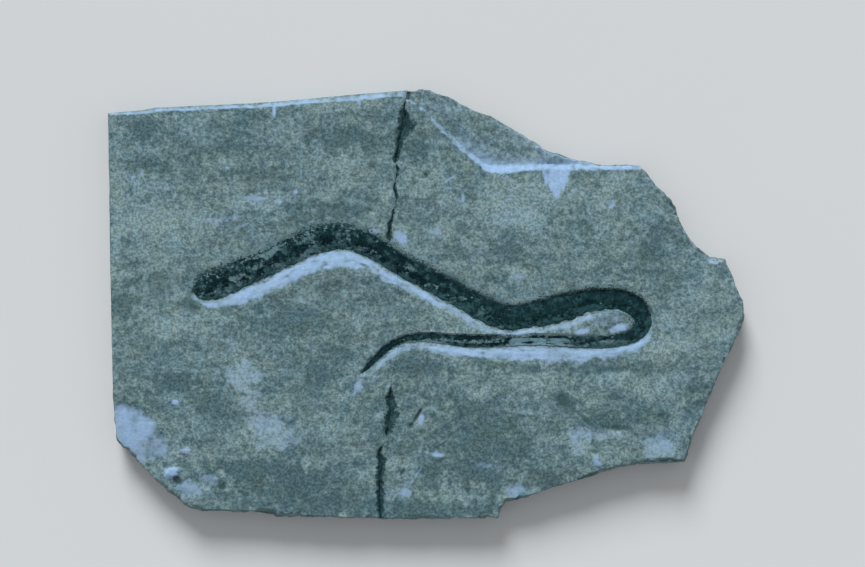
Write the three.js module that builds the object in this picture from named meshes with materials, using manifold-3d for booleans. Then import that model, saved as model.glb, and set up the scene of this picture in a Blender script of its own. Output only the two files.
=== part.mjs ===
// A long thin fossil snake in a flat slab of fine limestone, lying with the fossil face up.
//
// Millimetres. +X runs along the slab's length, +Y across it towards the spalled edge, and +Z up out
// of the fossil face. The origin is on the underside, below the middle of the slab.
//
// The slab was broken right across and laid together again, so the stone is in two halves. The
// animal crosses the break twice, so the fossil is in three lengths. The fossil lies in a prepared
// trench with a gently sloping wall on the side towards -Y and a steep wall on the other side.

import * as THREE from 'three';
import { ConvexGeometry } from 'three/addons/geometries/ConvexGeometry.js';
import { mergeVertices } from 'three/addons/utils/BufferGeometryUtils.js';
import Module from 'manifold-3d';

// ---------------------------------------------------------------- driving dimensions

const SLAB_LENGTH = 500; // along X
const SLAB_WIDTH = 339; // along Y
const SLAB_THICKNESS = 24;
const BREAK_GAP = 0.4; // between the two halves, along X
const FOSSIL_GAP = 0.35; // between the fossil and the stone around it

const LEDGE_DROP = 6; // how far the spalled ledge lies below the face
const BED_DROP = [1.6, 0.42]; // the trench's bed below the face: a fixed part and a share of the half width
const CROWN_RISE = 0.15; // the fossil's middle above its edges, as a share of the half width
const THINNEST_EDGE = 0.5; // least height of the fossil's own edges
const WALL_TOP_FLARE = 1; // extra width of the steep wall at the face
const SLOPE_FOOT = [1, 0.3]; // floor beside the body, below the sloping wall: width and drop

const STATION_STEP = 7; // spacing of the sections along the fossil
const OVERSHOOT = 2; // how far a cutter reaches past the surface that it cuts

// The outline, anticlockwise from the corner between the two sawn edges. Each point is
// [x, y, brow, foot]: brow is how far the edge of the face stands in from the outline there, and
// foot how far the edge of the underside does.
const OUTLINE = [
  // sawn end
  [-250, 150, 1, 0], [-248, 19, 1, 0], [-246, -75, 1, 0], [-244, -107, 1.5, 1],
  // broken corner
  [-232.5, -119.5, 2, 2], [-216.5, -135, 1.5, 4], [-201, -149, 2, 3], [-189, -159.5, 1.5, 2],
  // broken front edge
  [-177.5, -162.5, 1.5, 2], [-138, -164, 2, 1], [-114.5, -167.5, 3, 0], [-99, -168, 2.5, 0],
  [-60, -168.3, 1.5, 1], [-20.5, -169, 1.5, 2], [19, -169.5, 1.5, 1], [56.5, -168, 1, 2],
  [58.5, -163, 1, 2], [63, -156.5, 1, 1.5], [81.5, -152, 1.5, 1], [93.5, -147.5, 1.5, 1],
  [105, -143, 2, 1], [121, -139, 2.5, 0], [136.5, -134, 3, 0], [152.5, -128.5, 2.5, 0],
  [183.5, -125.5, 3, 0], [203.5, -124, 3, 0],
  // broken end
  [212, -99, 1.5, 3], [222, -75.5, 1.5, 4], [233, -52, 1.5, 3], [243.5, -28.5, 1.5, 3],
  [250, -12.5, 1.5, 2], [250, 3, 1.5, 2], [239.5, 26.5, 2, 3], [235.5, 36, 2, 2],
  [218, 37.5, 3.5, 1], [212.5, 43.5, 1, 3], [199.5, 64.5, 1, 3], [193, 79.5, 1, 3],
  [183.5, 90.5, 1, 2], [168, 109.5, 1, 1],
  // edge of the spalled ledge
  [136.5, 110.5, 1, 1], [114.5, 115.5, 1, 2], [95, 121.5, 1, 3], [81.5, 131, 1, 3],
  [71.5, 136, 1, 3], [50, 148.5, 1, 3], [39, 152.5, 1, 3], [26.5, 158.5, 1, 2],
  [19, 163.5, 1, 2], [8.5, 165.5, 1, 2], [3, 169.5, 1, 1], [-13, 168.5, 1, 1],
  // sawn edge with a wide worn arris
  [-18, 168, 4.5, 0], [-60, 164.5, 4.5, 0], [-99, 161, 4.5, 0], [-138, 158, 4.5, 0],
  [-212.5, 154.5, 4.5, 0], [-224.5, 152.5, 4, 0],
];

// The break, from the top edge of the face to its bottom edge.
const BREAK = [
  [-13.5, 175], [-16.5, 155], [-16, 141], [-21, 131], [-24, 111], [-23, 104], [-25, 91],
  [-23, 83], [-26, 72], [-29, 52], [-23.5, 33], [-21, 7], [-21, -32], [-27.5, -60],
  [-28.5, -88], [-31.5, -107], [-37.5, -117], [-34.5, -127], [-36.5, -147], [-35, -175],
];

// Chips out of the face along the break and beside it: [x, y] at each end, width and depth.
const CHIPS = [
  { from: [-16, 156], to: [-21, 128], width: 11, depth: 3 },
  { from: [-21, 134], to: [-24, 110], width: 4, depth: 2.2 },
  { from: [-24, 97], to: [-23, 82], width: 2.4, depth: 1.6 },
  { from: [-26, 73], to: [-29, 51], width: 4.4, depth: 2.4 },
  { from: [-27.5, -65], to: [-30.5, -104], width: 7, depth: 3 },
  { from: [-37, -113], to: [-35.5, -166], width: 5.4, depth: 3 },
  { from: [-1.5, -79], to: [-11, -95], width: 2.4, depth: 1.5 },
];

// The upper lip of the spalled ledge, from the break to the end: [x, y, width of the wall below].
const SPALL_LIP = [
  [-12, 158, 2], [-3, 150.5, 2], [12, 136, 2], [26, 122.5, 2], [39, 112, 2.5], [50, 104.5, 4],
  [60.5, 105, 5], [105, 105, 5], [175, 105, 5],
];
const SPALL_REACH = 60; // how far the spall's cutter stands clear of the slab

// Two shallow flake scars, as corners on the face and how deep each one is cut.
const TOOTH_SCAR = [[88, 109, 3], [115, 109, 3], [102, 82.5, 0]];
const CORNER_SCAR = [
  [-248, -77, 2.5], [-226, -82, 0], [-212.5, -88, 0], [-209, -103, 0], [-202.5, -113, 0],
  [-222, -127, 2.5], [-250, -106, 3],
];

// The line of the animal, from the blunt head end to the tip of the tail.
const SPINE = [
  [-181.6, 8.8], [-178, 10], [-154, 19.8], [-128.5, 30.4], [-102.6, 42.6], [-81.5, 50.6],
  [-63.5, 51.8], [-42.8, 44.6], [-32.3, 38.5], [-20.8, 31.5], [3, 18.4], [26.5, 5.8], [46.5, -5.6],
  [64.5, -11.3], [85.5, -8.6], [109, -3.2], [132.5, 2.8], [152.5, 2.6], [165.6, -3.6],
  [170.8, -13.8], [164.6, -24], [150, -28.8], [125, -29.6], [101.5, -28.4], [77.5, -28.2],
  [54, -29.2], [34.5, -29.2], [18.8, -27.9], [3, -26.2], [-12.6, -27.2], [-20.4, -29],
  [-28.3, -33.2], [-36.1, -39.6], [-44, -47.4], [-50.4, -54],
];

// Half width of the fossil along its line: [distance from the head end, half width].
const HALF_WIDTH = [
  [0, 2.4], [4, 6.8], [8, 9], [13, 10.6], [20, 11], [30, 10.6], [46, 10], [64, 9.9], [114, 9.6],
  [134, 8.9], [154, 8.5], [219, 8.4], [232, 8.2], [246, 9], [266, 9.3], [288, 9.1], [300, 10.2],
  [316, 10.4], [330, 9.2], [342, 8.4], [354, 7.9], [376, 7.3], [388, 6.3], [400, 4.9], [412, 4.1],
  [428, 4], [504, 4], [520, 4.6], [534, 4.6], [550, 3.7], [566, 3], [580, 2.7], [604, 2.3],
  [614, 1.9], [624, 0.8],
];

// How far the fossil's left and right edges lie below the face: [distance, depth].
const LEFT_DEPTH = [
  [0, 0.65], [14, 0.5], [154, 0.5], [194, 0.85], [219, 1.35], [249, 1.85], [344, 2.05],
  [376, 2.15], [396, 2.95], [444, 3.15], [552, 2.75], [604, 1.75], [624, 1.25],
];
const RIGHT_DEPTH = [
  [0, 1.95], [10, 3.35], [24, 4.25], [189, 4.25], [229, 3.35], [266, 2.85], [339, 2.65],
  [364, 2.25], [389, 1.45], [444, 1.35], [552, 1.75], [604, 1.45], [624, 1.15],
];

// Width of the sloping wall: on the trunk's right-hand side, then on the tail's left-hand side.
const TRUNK_SLOPE = [
  [0, 4], [4, 6], [12, 8.6], [28, 11.4], [52, 13.4], [100, 14], [124, 15.6], [139, 13.6],
  [154, 10.4], [176, 9.4], [204, 8.6], [232, 6.4], [266, 5], [294, 5], [319, 5], [337, 3.5],
  [352, 1],
];
const TAIL_SLOPE = [
  [372, 1], [388, 3], [396, 5.6], [406, 8.6], [429, 11.2], [444, 13], [460, 14.2], [476, 14],
  [494, 12.4], [519, 10], [552, 9.6], [566, 8.2], [580, 7], [612, 6.4], [624, 3],
];

const STONE = new THREE.MeshStandardMaterial({ name: 'limestone', color: 0x74879a, roughness: 0.92 });
const FOSSIL = new THREE.MeshStandardMaterial({ name: 'fossil', color: 0x16332f, roughness: 0.7 });

// ---------------------------------------------------------------- solids and booleans

const wasm = await Module();
wasm.setup();

// A manifold-3d solid from a closed BufferGeometry.
function solidOf(geometry) {
  const bare = new THREE.BufferGeometry();
  bare.setAttribute('position', geometry.getAttribute('position'));
  if (geometry.index) bare.setIndex(geometry.index);
  const merged = mergeVertices(bare, 1e-4);
  return new wasm.Manifold(new wasm.Mesh({
    numProp: 3,
    vertProperties: new Float32Array(merged.getAttribute('position').array),
    triVerts: new Uint32Array(merged.index.array),
  }));
}

function geometryOf(solid) {
  const mesh = solid.getMesh();
  const geometry = new THREE.BufferGeometry();
  geometry.setAttribute('position', new THREE.BufferAttribute(mesh.vertProperties, 3));
  geometry.setIndex(new THREE.BufferAttribute(mesh.triVerts, 1));
  return geometry;
}

// A closed skin through rings of equal point count. capPlane gives the 2-D points that the caps
// are triangulated in, running anticlockwise seen from outside the last ring.
function loft(rings, capPlane) {
  const count = rings[0].length;
  const positions = rings.flat().flatMap((point) => [point.x, point.y, point.z]);
  const index = [];
  for (let r = 0; r + 1 < rings.length; r += 1) {
    for (let i = 0; i < count; i += 1) {
      const j = (i + 1) % count;
      const [a, b, c, d] = [r * count + i, r * count + j, (r + 1) * count + j, (r + 1) * count + i];
      index.push(a, b, c, a, c, d);
    }
  }
  const last = (rings.length - 1) * count;
  for (const [a, b, c] of THREE.ShapeUtils.triangulateShape(capPlane, [])) {
    index.push(a, c, b, last + a, last + b, last + c);
  }
  const geometry = new THREE.BufferGeometry();
  geometry.setAttribute('position', new THREE.Float32BufferAttribute(positions, 3));
  geometry.setIndex(index);
  return geometry;
}

// The value at a distance along a table of [distance, value] rows, straight between the rows.
function along(table, distance) {
  const next = table.findIndex(([d]) => d >= distance);
  if (next === 0) return table[0][1];
  if (next < 0) return table.at(-1)[1];
  const [[d0, v0], [d1, v1]] = [table[next - 1], table[next]];
  return THREE.MathUtils.mapLinear(distance, d0, d1, v0, v1);
}

// Each point of a polygon or polyline moved sideways, to the left of its run.
function offsetLeft(points, amounts, closed) {
  return points.map((point, i) => {
    const before = closed ? points.at(i - 1) : points[Math.max(i - 1, 0)];
    const after = closed ? points[(i + 1) % points.length] : points[Math.min(i + 1, points.length - 1)];
    const run = after.clone().sub(before).normalize();
    return new THREE.Vector2(point.x - run.y * amounts[i], point.y + run.x * amounts[i]);
  });
}

const raise = (points, z) => points.map((point) => new THREE.Vector3(point.x, point.y, z));

// ---------------------------------------------------------------- the stone

function slabBlank() {
  const outline = OUTLINE.map(([x, y]) => new THREE.Vector2(x, y));
  const brow = OUTLINE.map((row) => row[2]);
  const foot = OUTLINE.map((row) => row[3]);
  const shoulder = outline.map((p, i) => new THREE.Vector3(p.x, p.y, SLAB_THICKNESS - 1 - brow[i]));
  const underside = offsetLeft(outline, foot, true);
  const face = offsetLeft(outline, brow, true);
  return solidOf(loft([
    raise(underside, 0),
    raise(outline, SLAB_THICKNESS / 3),
    shoulder,
    raise(face, SLAB_THICKNESS),
  ], outline));
}

function spall() {
  const lip = SPALL_LIP.map(([x, y]) => new THREE.Vector2(x, y));
  const foot = offsetLeft(lip, SPALL_LIP.map((row) => row[2]), false);
  const far = [lip.at(-1), lip[0]].map((p) => new THREE.Vector2(p.x, SLAB_WIDTH / 2 + SPALL_REACH));
  const level = [SLAB_THICKNESS - LEDGE_DROP, SLAB_THICKNESS + OVERSHOOT];
  const upper = offsetLeft(lip, SPALL_LIP.map((row) => -row[2] * OVERSHOOT / LEDGE_DROP), false);
  return solidOf(loft([
    raise([...foot, ...far], level[0]),
    raise([...upper, ...far], level[1]),
  ], [...lip, ...far]));
}

// A shallow scar: everything above a tilted floor inside the corners.
function scar(corners) {
  const floor = corners.map(([x, y, deep]) => new THREE.Vector3(x, y, SLAB_THICKNESS - deep));
  const roof = corners.map(([x, y]) => new THREE.Vector3(x, y, SLAB_THICKNESS + OVERSHOOT));
  return solidOf(new ConvexGeometry([...floor, ...roof]));
}

// A V-shaped chip with pointed ends.
function chip({ from, to, width, depth }) {
  const ends = [new THREE.Vector2(...from), new THREE.Vector2(...to)];
  const run = ends[1].clone().sub(ends[0]);
  const side = new THREE.Vector2(-run.y, run.x).setLength(width / 2);
  const middle = ends[0].clone().addScaledVector(run, 0.5);
  const top = SLAB_THICKNESS + OVERSHOOT;
  const keel = [0.25, 0.75].map((t) => ends[0].clone().addScaledVector(run, t));
  return solidOf(new ConvexGeometry([
    ...raise([ends[0], ends[1], middle.clone().add(side), middle.clone().sub(side)], top),
    ...raise([ends[0], ends[1]], SLAB_THICKNESS - 0.1),
    ...raise(keel, SLAB_THICKNESS - depth),
  ]));
}

// Everything on one side of the break: -1 is the left side, +1 the right.
function besideBreak(sign) {
  const reach = SLAB_LENGTH;
  const edge = BREAK.map(([x, y]) => new THREE.Vector2(x + sign * BREAK_GAP / 2, y));
  const far = [edge.at(-1), edge[0]].map((p) => new THREE.Vector2(sign * reach, p.y));
  const shape = new THREE.Shape([...edge, ...far]);
  const height = SLAB_THICKNESS + 2 * OVERSHOOT;
  const geometry = new THREE.ExtrudeGeometry(shape, { depth: height, bevelEnabled: false });
  return solidOf(geometry.translate(0, 0, -OVERSHOOT));
}

// ---------------------------------------------------------------- the fossil and its trench

const spine = new THREE.CatmullRomCurve3(
  SPINE.map(([x, y]) => new THREE.Vector3(x, y, 0)), false, 'centripetal');
const spineLength = spine.getLength();

// The stations between two distances from the head end, each with its place, its side and its run.
function stations(start, end) {
  const count = Math.ceil((end - start) / STATION_STEP);
  return Array.from({ length: count + 1 }, (_, i) => {
    const distance = THREE.MathUtils.lerp(start, end, i / count);
    const u = distance / spineLength;
    const run = spine.getTangentAt(u);
    return {
      distance,
      place: spine.getPointAt(u),
      right: new THREE.Vector3(run.y, -run.x, 0),
      run,
      halfWidth: along(HALF_WIDTH, distance),
    };
  });
}

// A solid through sections across the fossil's line. section(station) lists [right, z] points,
// anticlockwise seen against the run; the ends are carried on by overrun.
function sweep(places, section, overrun) {
  const rings = places.map((station, i) => {
    const shift = i === 0 ? -overrun : i === places.length - 1 ? overrun : 0;
    return section(station).map(([across, z]) => station.place.clone()
      .addScaledVector(station.right, across)
      .addScaledVector(station.run, shift)
      .setZ(z));
  });
  const cap = section(places[0]).map(([across, z]) => new THREE.Vector2(-across, z));
  return solidOf(loft(rings, cap));
}

const bedLevel = (halfWidth) => SLAB_THICKNESS - BED_DROP[0] - BED_DROP[1] * halfWidth;

// The level of the fossil's edge on one side: +1 on the right of the run, -1 on the left.
function edgeLevel({ halfWidth, distance }, side) {
  const depth = along(side > 0 ? RIGHT_DEPTH : LEFT_DEPTH, distance);
  return Math.max(SLAB_THICKNESS - depth, bedLevel(halfWidth) + FOSSIL_GAP + THINNEST_EDGE);
}

// The animal's body: flat below, and crowned above between two edges at their own levels.
function fossilSection(station) {
  const w = station.halfWidth;
  const bottom = bedLevel(w) + FOSSIL_GAP;
  const [left, right] = [edgeLevel(station, -1), edgeLevel(station, 1)];
  const top = [-1, -0.6, 0, 0.6, 1].map((share) => [
    share * w,
    THREE.MathUtils.lerp(left, right, (1 + share) / 2) + CROWN_RISE * w * (1 - share * share),
  ]);
  return [[-w, bottom], ...top, [w, bottom]];
}

// The bed that the body lies in, with walls that flare a little at the face.
function bedSection(station) {
  const bed = bedLevel(station.halfWidth);
  const w = station.halfWidth + FOSSIL_GAP;
  const top = SLAB_THICKNESS + OVERSHOOT;
  return [
    [-w, bed], [-w, edgeLevel(station, -1)], [-w - WALL_TOP_FLARE, top],
    [w + WALL_TOP_FLARE, top], [w, edgeLevel(station, 1)], [w, bed],
  ];
}

// The long sloping wall on one side of the body: side is +1 on the right of the run, -1 on the left.
function slopeSection(table, side) {
  return (station) => {
    const w = station.halfWidth + FOSSIL_GAP;
    const foot = w + SLOPE_FOOT[0];
    const low = edgeLevel(station, side) - SLOPE_FOOT[1];
    const width = along(table, station.distance);
    const top = SLAB_THICKNESS + OVERSHOOT;
    const reach = width * (top - low) / (SLAB_THICKNESS - low);
    const points = [[w / 2, low], [w / 2, top], [foot + reach, top], [foot, low]];
    return side > 0 ? points : points.map(([across, z]) => [-across, z]).reverse();
  };
}

function trench() {
  const bed = sweep(stations(0, spineLength), bedSection, FOSSIL_GAP);
  const trunkSlope = sweep(
    stations(TRUNK_SLOPE[0][0], TRUNK_SLOPE.at(-1)[0]), slopeSection(TRUNK_SLOPE, 1), 0);
  const tailSlope = sweep(
    stations(TAIL_SLOPE[0][0], spineLength), slopeSection(TAIL_SLOPE, -1), 0);
  return bed.add(trunkSlope).add(tailSlope);
}

// ---------------------------------------------------------------- the five pieces

const leftSide = besideBreak(-1);
const rightSide = besideBreak(1);

let stone = slabBlank().subtract(spall().intersect(rightSide)).subtract(trench());
for (const cutter of [scar(TOOTH_SCAR), scar(CORNER_SCAR), ...CHIPS.map(chip)]) {
  stone = stone.subtract(cutter);
}

const animal = sweep(stations(0, spineLength), fossilSection, 0);
const leftLengths = animal.intersect(leftSide).decompose();
const lowestX = (solid) => solid.boundingBox().min[0];
const [headEnd, tailTip] = leftLengths.sort((a, b) => lowestX(a) - lowestX(b));

const pieces = [
  ['slab_left', stone.intersect(leftSide), STONE],
  ['slab_right', stone.intersect(rightSide), STONE],
  ['snake_head_end', headEnd, FOSSIL],
  ['snake_middle', animal.intersect(rightSide), FOSSIL],
  ['snake_tail_tip', tailTip, FOSSIL],
];

const group = new THREE.Group();
for (const [name, solid, material] of pieces) {
  const mesh = new THREE.Mesh(geometryOf(solid), material);
  mesh.name = name;
  group.add(mesh);
}

export default group;
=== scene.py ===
"""A long thin fossil snake in a flat slab of fine limestone.

The slab was broken right across and laid together again. Its two halves and the three lengths of
the fossil are built here as fine meshes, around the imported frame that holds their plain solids.
All layout is in millimetres, in the frame's own axes, and becomes metres when a mesh is made.
"""

import itertools

import bpy
import numpy as np
from bpy.props import FloatProperty, FloatVectorProperty, PointerProperty
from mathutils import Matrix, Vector, kdtree
from mathutils.geometry import delaunay_2d_cdt


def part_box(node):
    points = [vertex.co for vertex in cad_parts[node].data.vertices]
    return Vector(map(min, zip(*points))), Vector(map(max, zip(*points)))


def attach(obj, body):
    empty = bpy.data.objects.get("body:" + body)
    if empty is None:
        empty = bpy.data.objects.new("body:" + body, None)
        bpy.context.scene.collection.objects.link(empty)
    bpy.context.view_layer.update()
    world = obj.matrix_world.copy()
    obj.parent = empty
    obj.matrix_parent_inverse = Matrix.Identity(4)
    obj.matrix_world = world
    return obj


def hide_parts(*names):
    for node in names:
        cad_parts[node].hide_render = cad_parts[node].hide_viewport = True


bl_info = {
    "name": "Fossil snake slab",
    "version": (1, 0, 0),
    "blender": (4, 5, 0),
    "location": "3D View > Sidebar > Fossil slab",
    "description": "Builds a fossil snake lying in a broken limestone slab",
    "category": "Add Mesh",
}

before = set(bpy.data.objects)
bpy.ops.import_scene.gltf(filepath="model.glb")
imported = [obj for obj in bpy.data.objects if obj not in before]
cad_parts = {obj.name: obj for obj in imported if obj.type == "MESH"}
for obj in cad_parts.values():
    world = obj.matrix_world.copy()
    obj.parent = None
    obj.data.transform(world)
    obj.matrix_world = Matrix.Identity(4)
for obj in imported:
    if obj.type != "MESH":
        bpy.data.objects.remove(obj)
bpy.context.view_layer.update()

MM = 0.001
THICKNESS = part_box("slab_left")[1].z / MM
BODY = "root"
FACE_DROP = 0.35  # how far the split face's mean level lies below its highest places

# ------------------------------------------------------------------ the slab's layout

# Each half's outline but for the break, anticlockwise. Each point is [x, y, brow, foot, roughness]:
# brow is how far the edge of the face stands in from the outline, foot how far the edge of the
# underside does, and roughness runs from 0 on a sawn side to 1 on a broken one.
LEFT_OUTLINE = [
    (-14.5, 168.3, 4.5, 0.3, 0.1), (-60, 164.5, 4.5, 0.3, 0.1), (-99, 161, 4.2, 0.3, 0.1),
    (-138, 158, 3.6, 0.3, 0.1), (-212.5, 154.5, 3.2, 0.3, 0.1), (-224.5, 152.5, 3.2, 0.3, 0.1),
    (-250, 150, 1.6, 0.4, 0.1), (-248, 19, 0.9, 0.4, 0.1), (-246, -75, 0.9, 0.4, 0.15),
    (-244, -107, 1.5, 1, 0.8), (-232.5, -119.5, 2, 2, 1), (-216.5, -135, 1.5, 4, 1),
    (-201, -149, 2, 3, 1), (-189, -159.5, 1.5, 2, 1), (-177.5, -162.5, 1.5, 2, 1),
    (-138, -164, 2, 1, 1), (-114.5, -167.5, 3, 0.3, 1), (-99, -168, 2.5, 0.3, 1),
    (-60, -168.3, 1.5, 1, 0.9), (-35.3, -168.7, 1.5, 1.5, 0.9),
]
RIGHT_OUTLINE = [
    (-35.3, -168.7, 1.5, 1.5, 0.9), (19, -169.3, 1.5, 1, 0.8), (56.5, -168, 1, 2, 1),
    (58.5, -163, 1, 2, 1), (63, -156.5, 1, 1.5, 1), (81.5, -152, 1.5, 1, 1),
    (93.5, -147.5, 1.5, 1, 1), (105, -143, 2, 1, 1), (121, -139, 2.5, 0.3, 1),
    (136.5, -134, 3, 0.3, 1), (152.5, -128.5, 2.5, 0.3, 1), (183.5, -125.5, 3, 0.3, 1),
    (203.5, -124, 2, 0.3, 1), (212, -99, 1.5, 3, 1), (222, -75.5, 1.5, 4, 1),
    (233, -52, 1.5, 3, 1), (243.5, -28.5, 1.5, 3, 1), (249.7, -12.5, 1.5, 2, 1),
    (249.7, 3, 1.5, 2, 1), (239.5, 26.5, 1.6, 3, 1), (235.5, 36, 2.4, 2, 1),
    (223, 37.6, 3.2, 1, 1), (219.5, 41.5, 1, 2, 1), (212.5, 45, 1, 3, 1), (199.5, 65, 1, 3, 1),
    (196.5, 76, 1, 3, 1), (192.5, 82, 1, 3, 1), (183.5, 91, 1, 2, 1), (168, 109.5, 1, 1, 1),
    (136.5, 110.5, 1.6, 1, 1), (114.5, 115.5, 1.8, 2, 1), (95, 121.5, 1.6, 3, 1),
    (81.5, 131, 1.6, 3, 1), (71.5, 136, 1.4, 3, 1), (50, 148.5, 0.8, 3, 1),
    (39, 152.5, 0.8, 3, 1), (26.5, 158.5, 0.8, 2, 1), (19, 163.5, 0.8, 2, 1),
    (8.5, 165.5, 0.8, 2, 1), (3, 169.2, 0.8, 1, 1), (-14.2, 168.3, 0.8, 1, 1),
]

# The break, from the bottom edge of the face to its top edge.
BREAK = [
    (-35, -176), (-36.5, -147), (-34.5, -127), (-37.5, -117), (-31.5, -107), (-28.5, -88),
    (-27.5, -60), (-21, -32), (-21, 7), (-23.5, 33), (-29, 52), (-26, 72), (-23, 83), (-25, 91),
    (-23, 104), (-24, 111), (-21, 131), (-16, 141), (-16.5, 155), (-13.5, 176),
]
# Where the break gapes: [y, how far the left edge stands back, how far the right edge does].
BREAK_OPENING = [
    (-169, 0.5, 0.4), (-163, 1.8, 1.6), (-152, 2.4, 2.6), (-147, 2.9, 3.0), (-138, 2.3, 2.2),
    (-130, 2.8, 2.5), (-121, 2.1, 2.8), (-114, 1.0, 0.8), (-110, 0.1, 0.1), (-104, 0.1, 0.1),
    (-101, 1.6, 2.0), (-95, 3.2, 3.8), (-86, 3.0, 4.2), (-78, 2.6, 3.8), (-72, 2.8, 3.0),
    (-68, 1.4, 1.6), (-64, 0.1, 0.1), (49, 0.05, 0.05), (52, 1.8, 1.6), (60, 2, 1.1),
    (66, 0.9, 1), (74, 0.7, 0.8), (77, 0.05, 0.05), (81, 0.1, 0.1), (84, 0.9, 1),
    (88, 1.2, 1.6), (94, 0.7, 1.2), (97, 0.2, 0.3), (101, 0.4, 1.4), (107, 0.3, 1.7),
    (109, 0.1, 0.2), (111.5, 1.5, 1.2), (115, 1.7, 2.4), (120, 1.6, 2.5), (124, 1.6, 2.6),
    (129, 1.7, 4.2), (133.5, 2.4, 6.0), (136.6, 3.2, 8.6), (139, 3.8, 7.6), (142, 4.4, 6.0),
    (146, 4.3, 4.6), (151, 3.4, 2.5), (155, 2.4, 0.4), (158, 0.4, 0.2), (169, 0.05, 0.05),
]
HAIRLINE = 0.09  # how far each half stands back where the break is tight
BREAK_WANDER = 0.35  # how far the broken surface wanders off its line

# The upper lip of the spalled ledge: [x, y, width of the wall below it].
SPALL_LIP = [
    (-16, 160.5, 2.2), (-12, 158, 2.2), (-3, 150.5, 2.3), (12, 136, 2.4), (26, 122.5, 2.8),
    (39, 111.5, 3.6), (47, 105, 4.6), (52, 102.8, 6.2), (62, 102.9, 6.4), (72, 103.8, 5.8),
    (80, 105, 5.2), (105, 105.2, 5), (140, 105.5, 4.6), (175, 105.6, 4.2),
]
LEDGE_DROP = 6
LEDGE_FALL = 0.03  # its further fall, as a share of the distance from the wall
# How pale the lip's wall is, as [x, value]. The wall is fresh broken stone that faces the light, and its
# paleness is partly a painted highlight.
LIP_PALE = [
    (-16, 0.85), (-8, 0.8), (-2, 0.4), (3, 0.45), (7, 0.9), (13, 0.85), (18, 0.5), (25, 0.65),
    (34, 0.9), (48, 1.15), (66, 1.15), (76, 0.95), (110, 1), (150, 0.95),
]
# The small tooth of broken stone below the lip: where its tip lies, and how it widens upwards.
TOOTH_TIP = (101.7, 82.5)
TOOTH_RISE = 22
TOOTH_HALF_WIDTH = 14
# The outline of the flaked place at the lower left corner, anticlockwise.
CORNER_SCAR = [
    (-254, -76), (-254, -118), (-236, -134), (-217, -126), (-206, -121), (-200, -112),
    (-202.5, -101), (-211, -90), (-222, -82), (-236, -76), (-254, -76),
]
CORNER_STEP = (-203, -118)  # the flake deepens from here towards the corner

# ------------------------------------------------------------------ the animal's layout

# The line of the animal, from the blunt head end to the tip of the tail.
SPINE = [
    (-178, 10), (-154, 19.8), (-128.5, 30.4), (-102.6, 42.6), (-81.5, 50.6), (-63.5, 51.8),
    (-42.8, 44.6), (-32.3, 38.5), (-20.8, 31.5), (3, 18.4), (26.5, 5.8), (46.5, -5.6), (64.5, -11.3),
    (85.5, -8.6), (109, -3.2), (132.5, 2.8), (152.5, 2.6), (165.6, -3.6), (170.8, -13.8),
    (164.6, -24), (150, -28.8), (125, -29.6), (101.5, -28.4), (77.5, -28.2), (54, -29.2),
    (34.5, -29.2), (18.8, -27.9), (3, -26.2), (-4.7, -26.2), (-12.6, -27.2), (-20.4, -29),
    (-28.3, -33.2), (-36.1, -39.6), (-44, -47.4), (-50.4, -54),
]
HEAD_REACH = (-181.6, 8.8)  # the rounded end of the head, just before distance 0
# Half the fossil's width. This and the next tables go along the animal, each row as
# [distance from the head end, value].
HALF_WIDTH = [
    (-4, 0.4), (-3.4, 2.2), (-2, 4.4), (0.5, 6.6), (4, 8.8), (9, 10.6), (16, 11), (26, 10.6),
    (42, 10), (60, 9.9), (110, 9.6), (130, 8.9), (150, 8.5), (175, 8.4), (215, 8.4), (228, 8.2),
    (242, 9), (262, 9.3), (284, 9.1), (296, 10.2), (312, 10.4), (326, 9.2), (338, 8.4), (350, 7.9),
    (372, 7.3), (384, 6.3), (396, 4.9), (408, 4.1), (424, 4), (440, 4), (500, 4), (516, 4.6),
    (530, 4.6), (546, 3.7), (562, 3), (576, 2.7), (600, 2.3), (610, 1.9), (616, 1.3), (618, 0.8),
    (620, 0.3),
]
# The width of the sloping wall on each side, and how pale it is. The paleness is fresh cut stone and
# partly a painted highlight, so it is set only on the wall that faces the light.
RIGHT_SLOPE = [
    (-4, 4), (0, 6), (8, 8.6), (24, 11.4), (48, 13.4), (72, 13.4), (96, 14), (120, 15.6),
    (135, 13.6), (150, 10.4), (172, 9.4), (200, 8.6), (228, 6.4), (262, 5), (290, 5), (315, 6),
    (338, 4.6), (352, 1.4), (380, 0.9), (440, 0.9), (620, 1.1),
]
LEFT_SLOPE = [
    (-4, 1.2), (8, 2.4), (160, 2.4), (210, 1.7), (374, 1.4), (384, 3), (392, 5.6), (402, 8.6),
    (425, 11.2), (440, 13), (456, 14.2), (472, 14), (490, 12.4), (515, 10), (548, 9.6), (562, 8.2),
    (576, 7), (608, 6.4), (616, 4.6), (620, 3),
]
RIGHT_PALE = [
    (-4, 0.8), (4, 1), (175, 1), (198, 0.95), (222, 0.85), (240, 0.8), (262, 0.75), (290, 0.75),
    (335, 0.75), (350, 0),
]
LEFT_PALE = [
    (376, 0), (386, 0.5), (396, 1), (552, 1), (566, 0.85), (580, 0.62), (600, 0.5), (620, 0.3),
]
# How far each edge of the fossil lies below the face.
LEFT_DEPTH = [
    (-4, 0.3), (10, 0.12), (150, 0.15), (190, 0.5), (215, 1.0), (245, 1.5), (340, 1.7),
    (372, 1.8), (392, 2.6), (440, 2.8), (548, 2.4), (600, 1.4), (620, 0.9),
]
RIGHT_DEPTH = [
    (-4, 1.6), (6, 3), (20, 3.9), (185, 3.9), (225, 3), (262, 2.5), (335, 2.3), (360, 1.9),
    (385, 1.1), (440, 1.0), (548, 1.4), (600, 1.1), (620, 0.8),
]
CROWN = 0.15  # rise of the fossil's middle above its edges, as a share of the half width
# How far the dark stain reaches out over the stone on the shaded side. There it is partly stain and
# partly painted shade.
STAIN_AND_SHADE_REACH = [
    (-4, 1.2), (30, 1.2), (48, 0.4), (84, 0.5), (105, 2.6), (130, 1.4), (150, 0.5), (225, 0.9),
    (372, 1), (440, 0.5), (620, 0.5),
]
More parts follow.
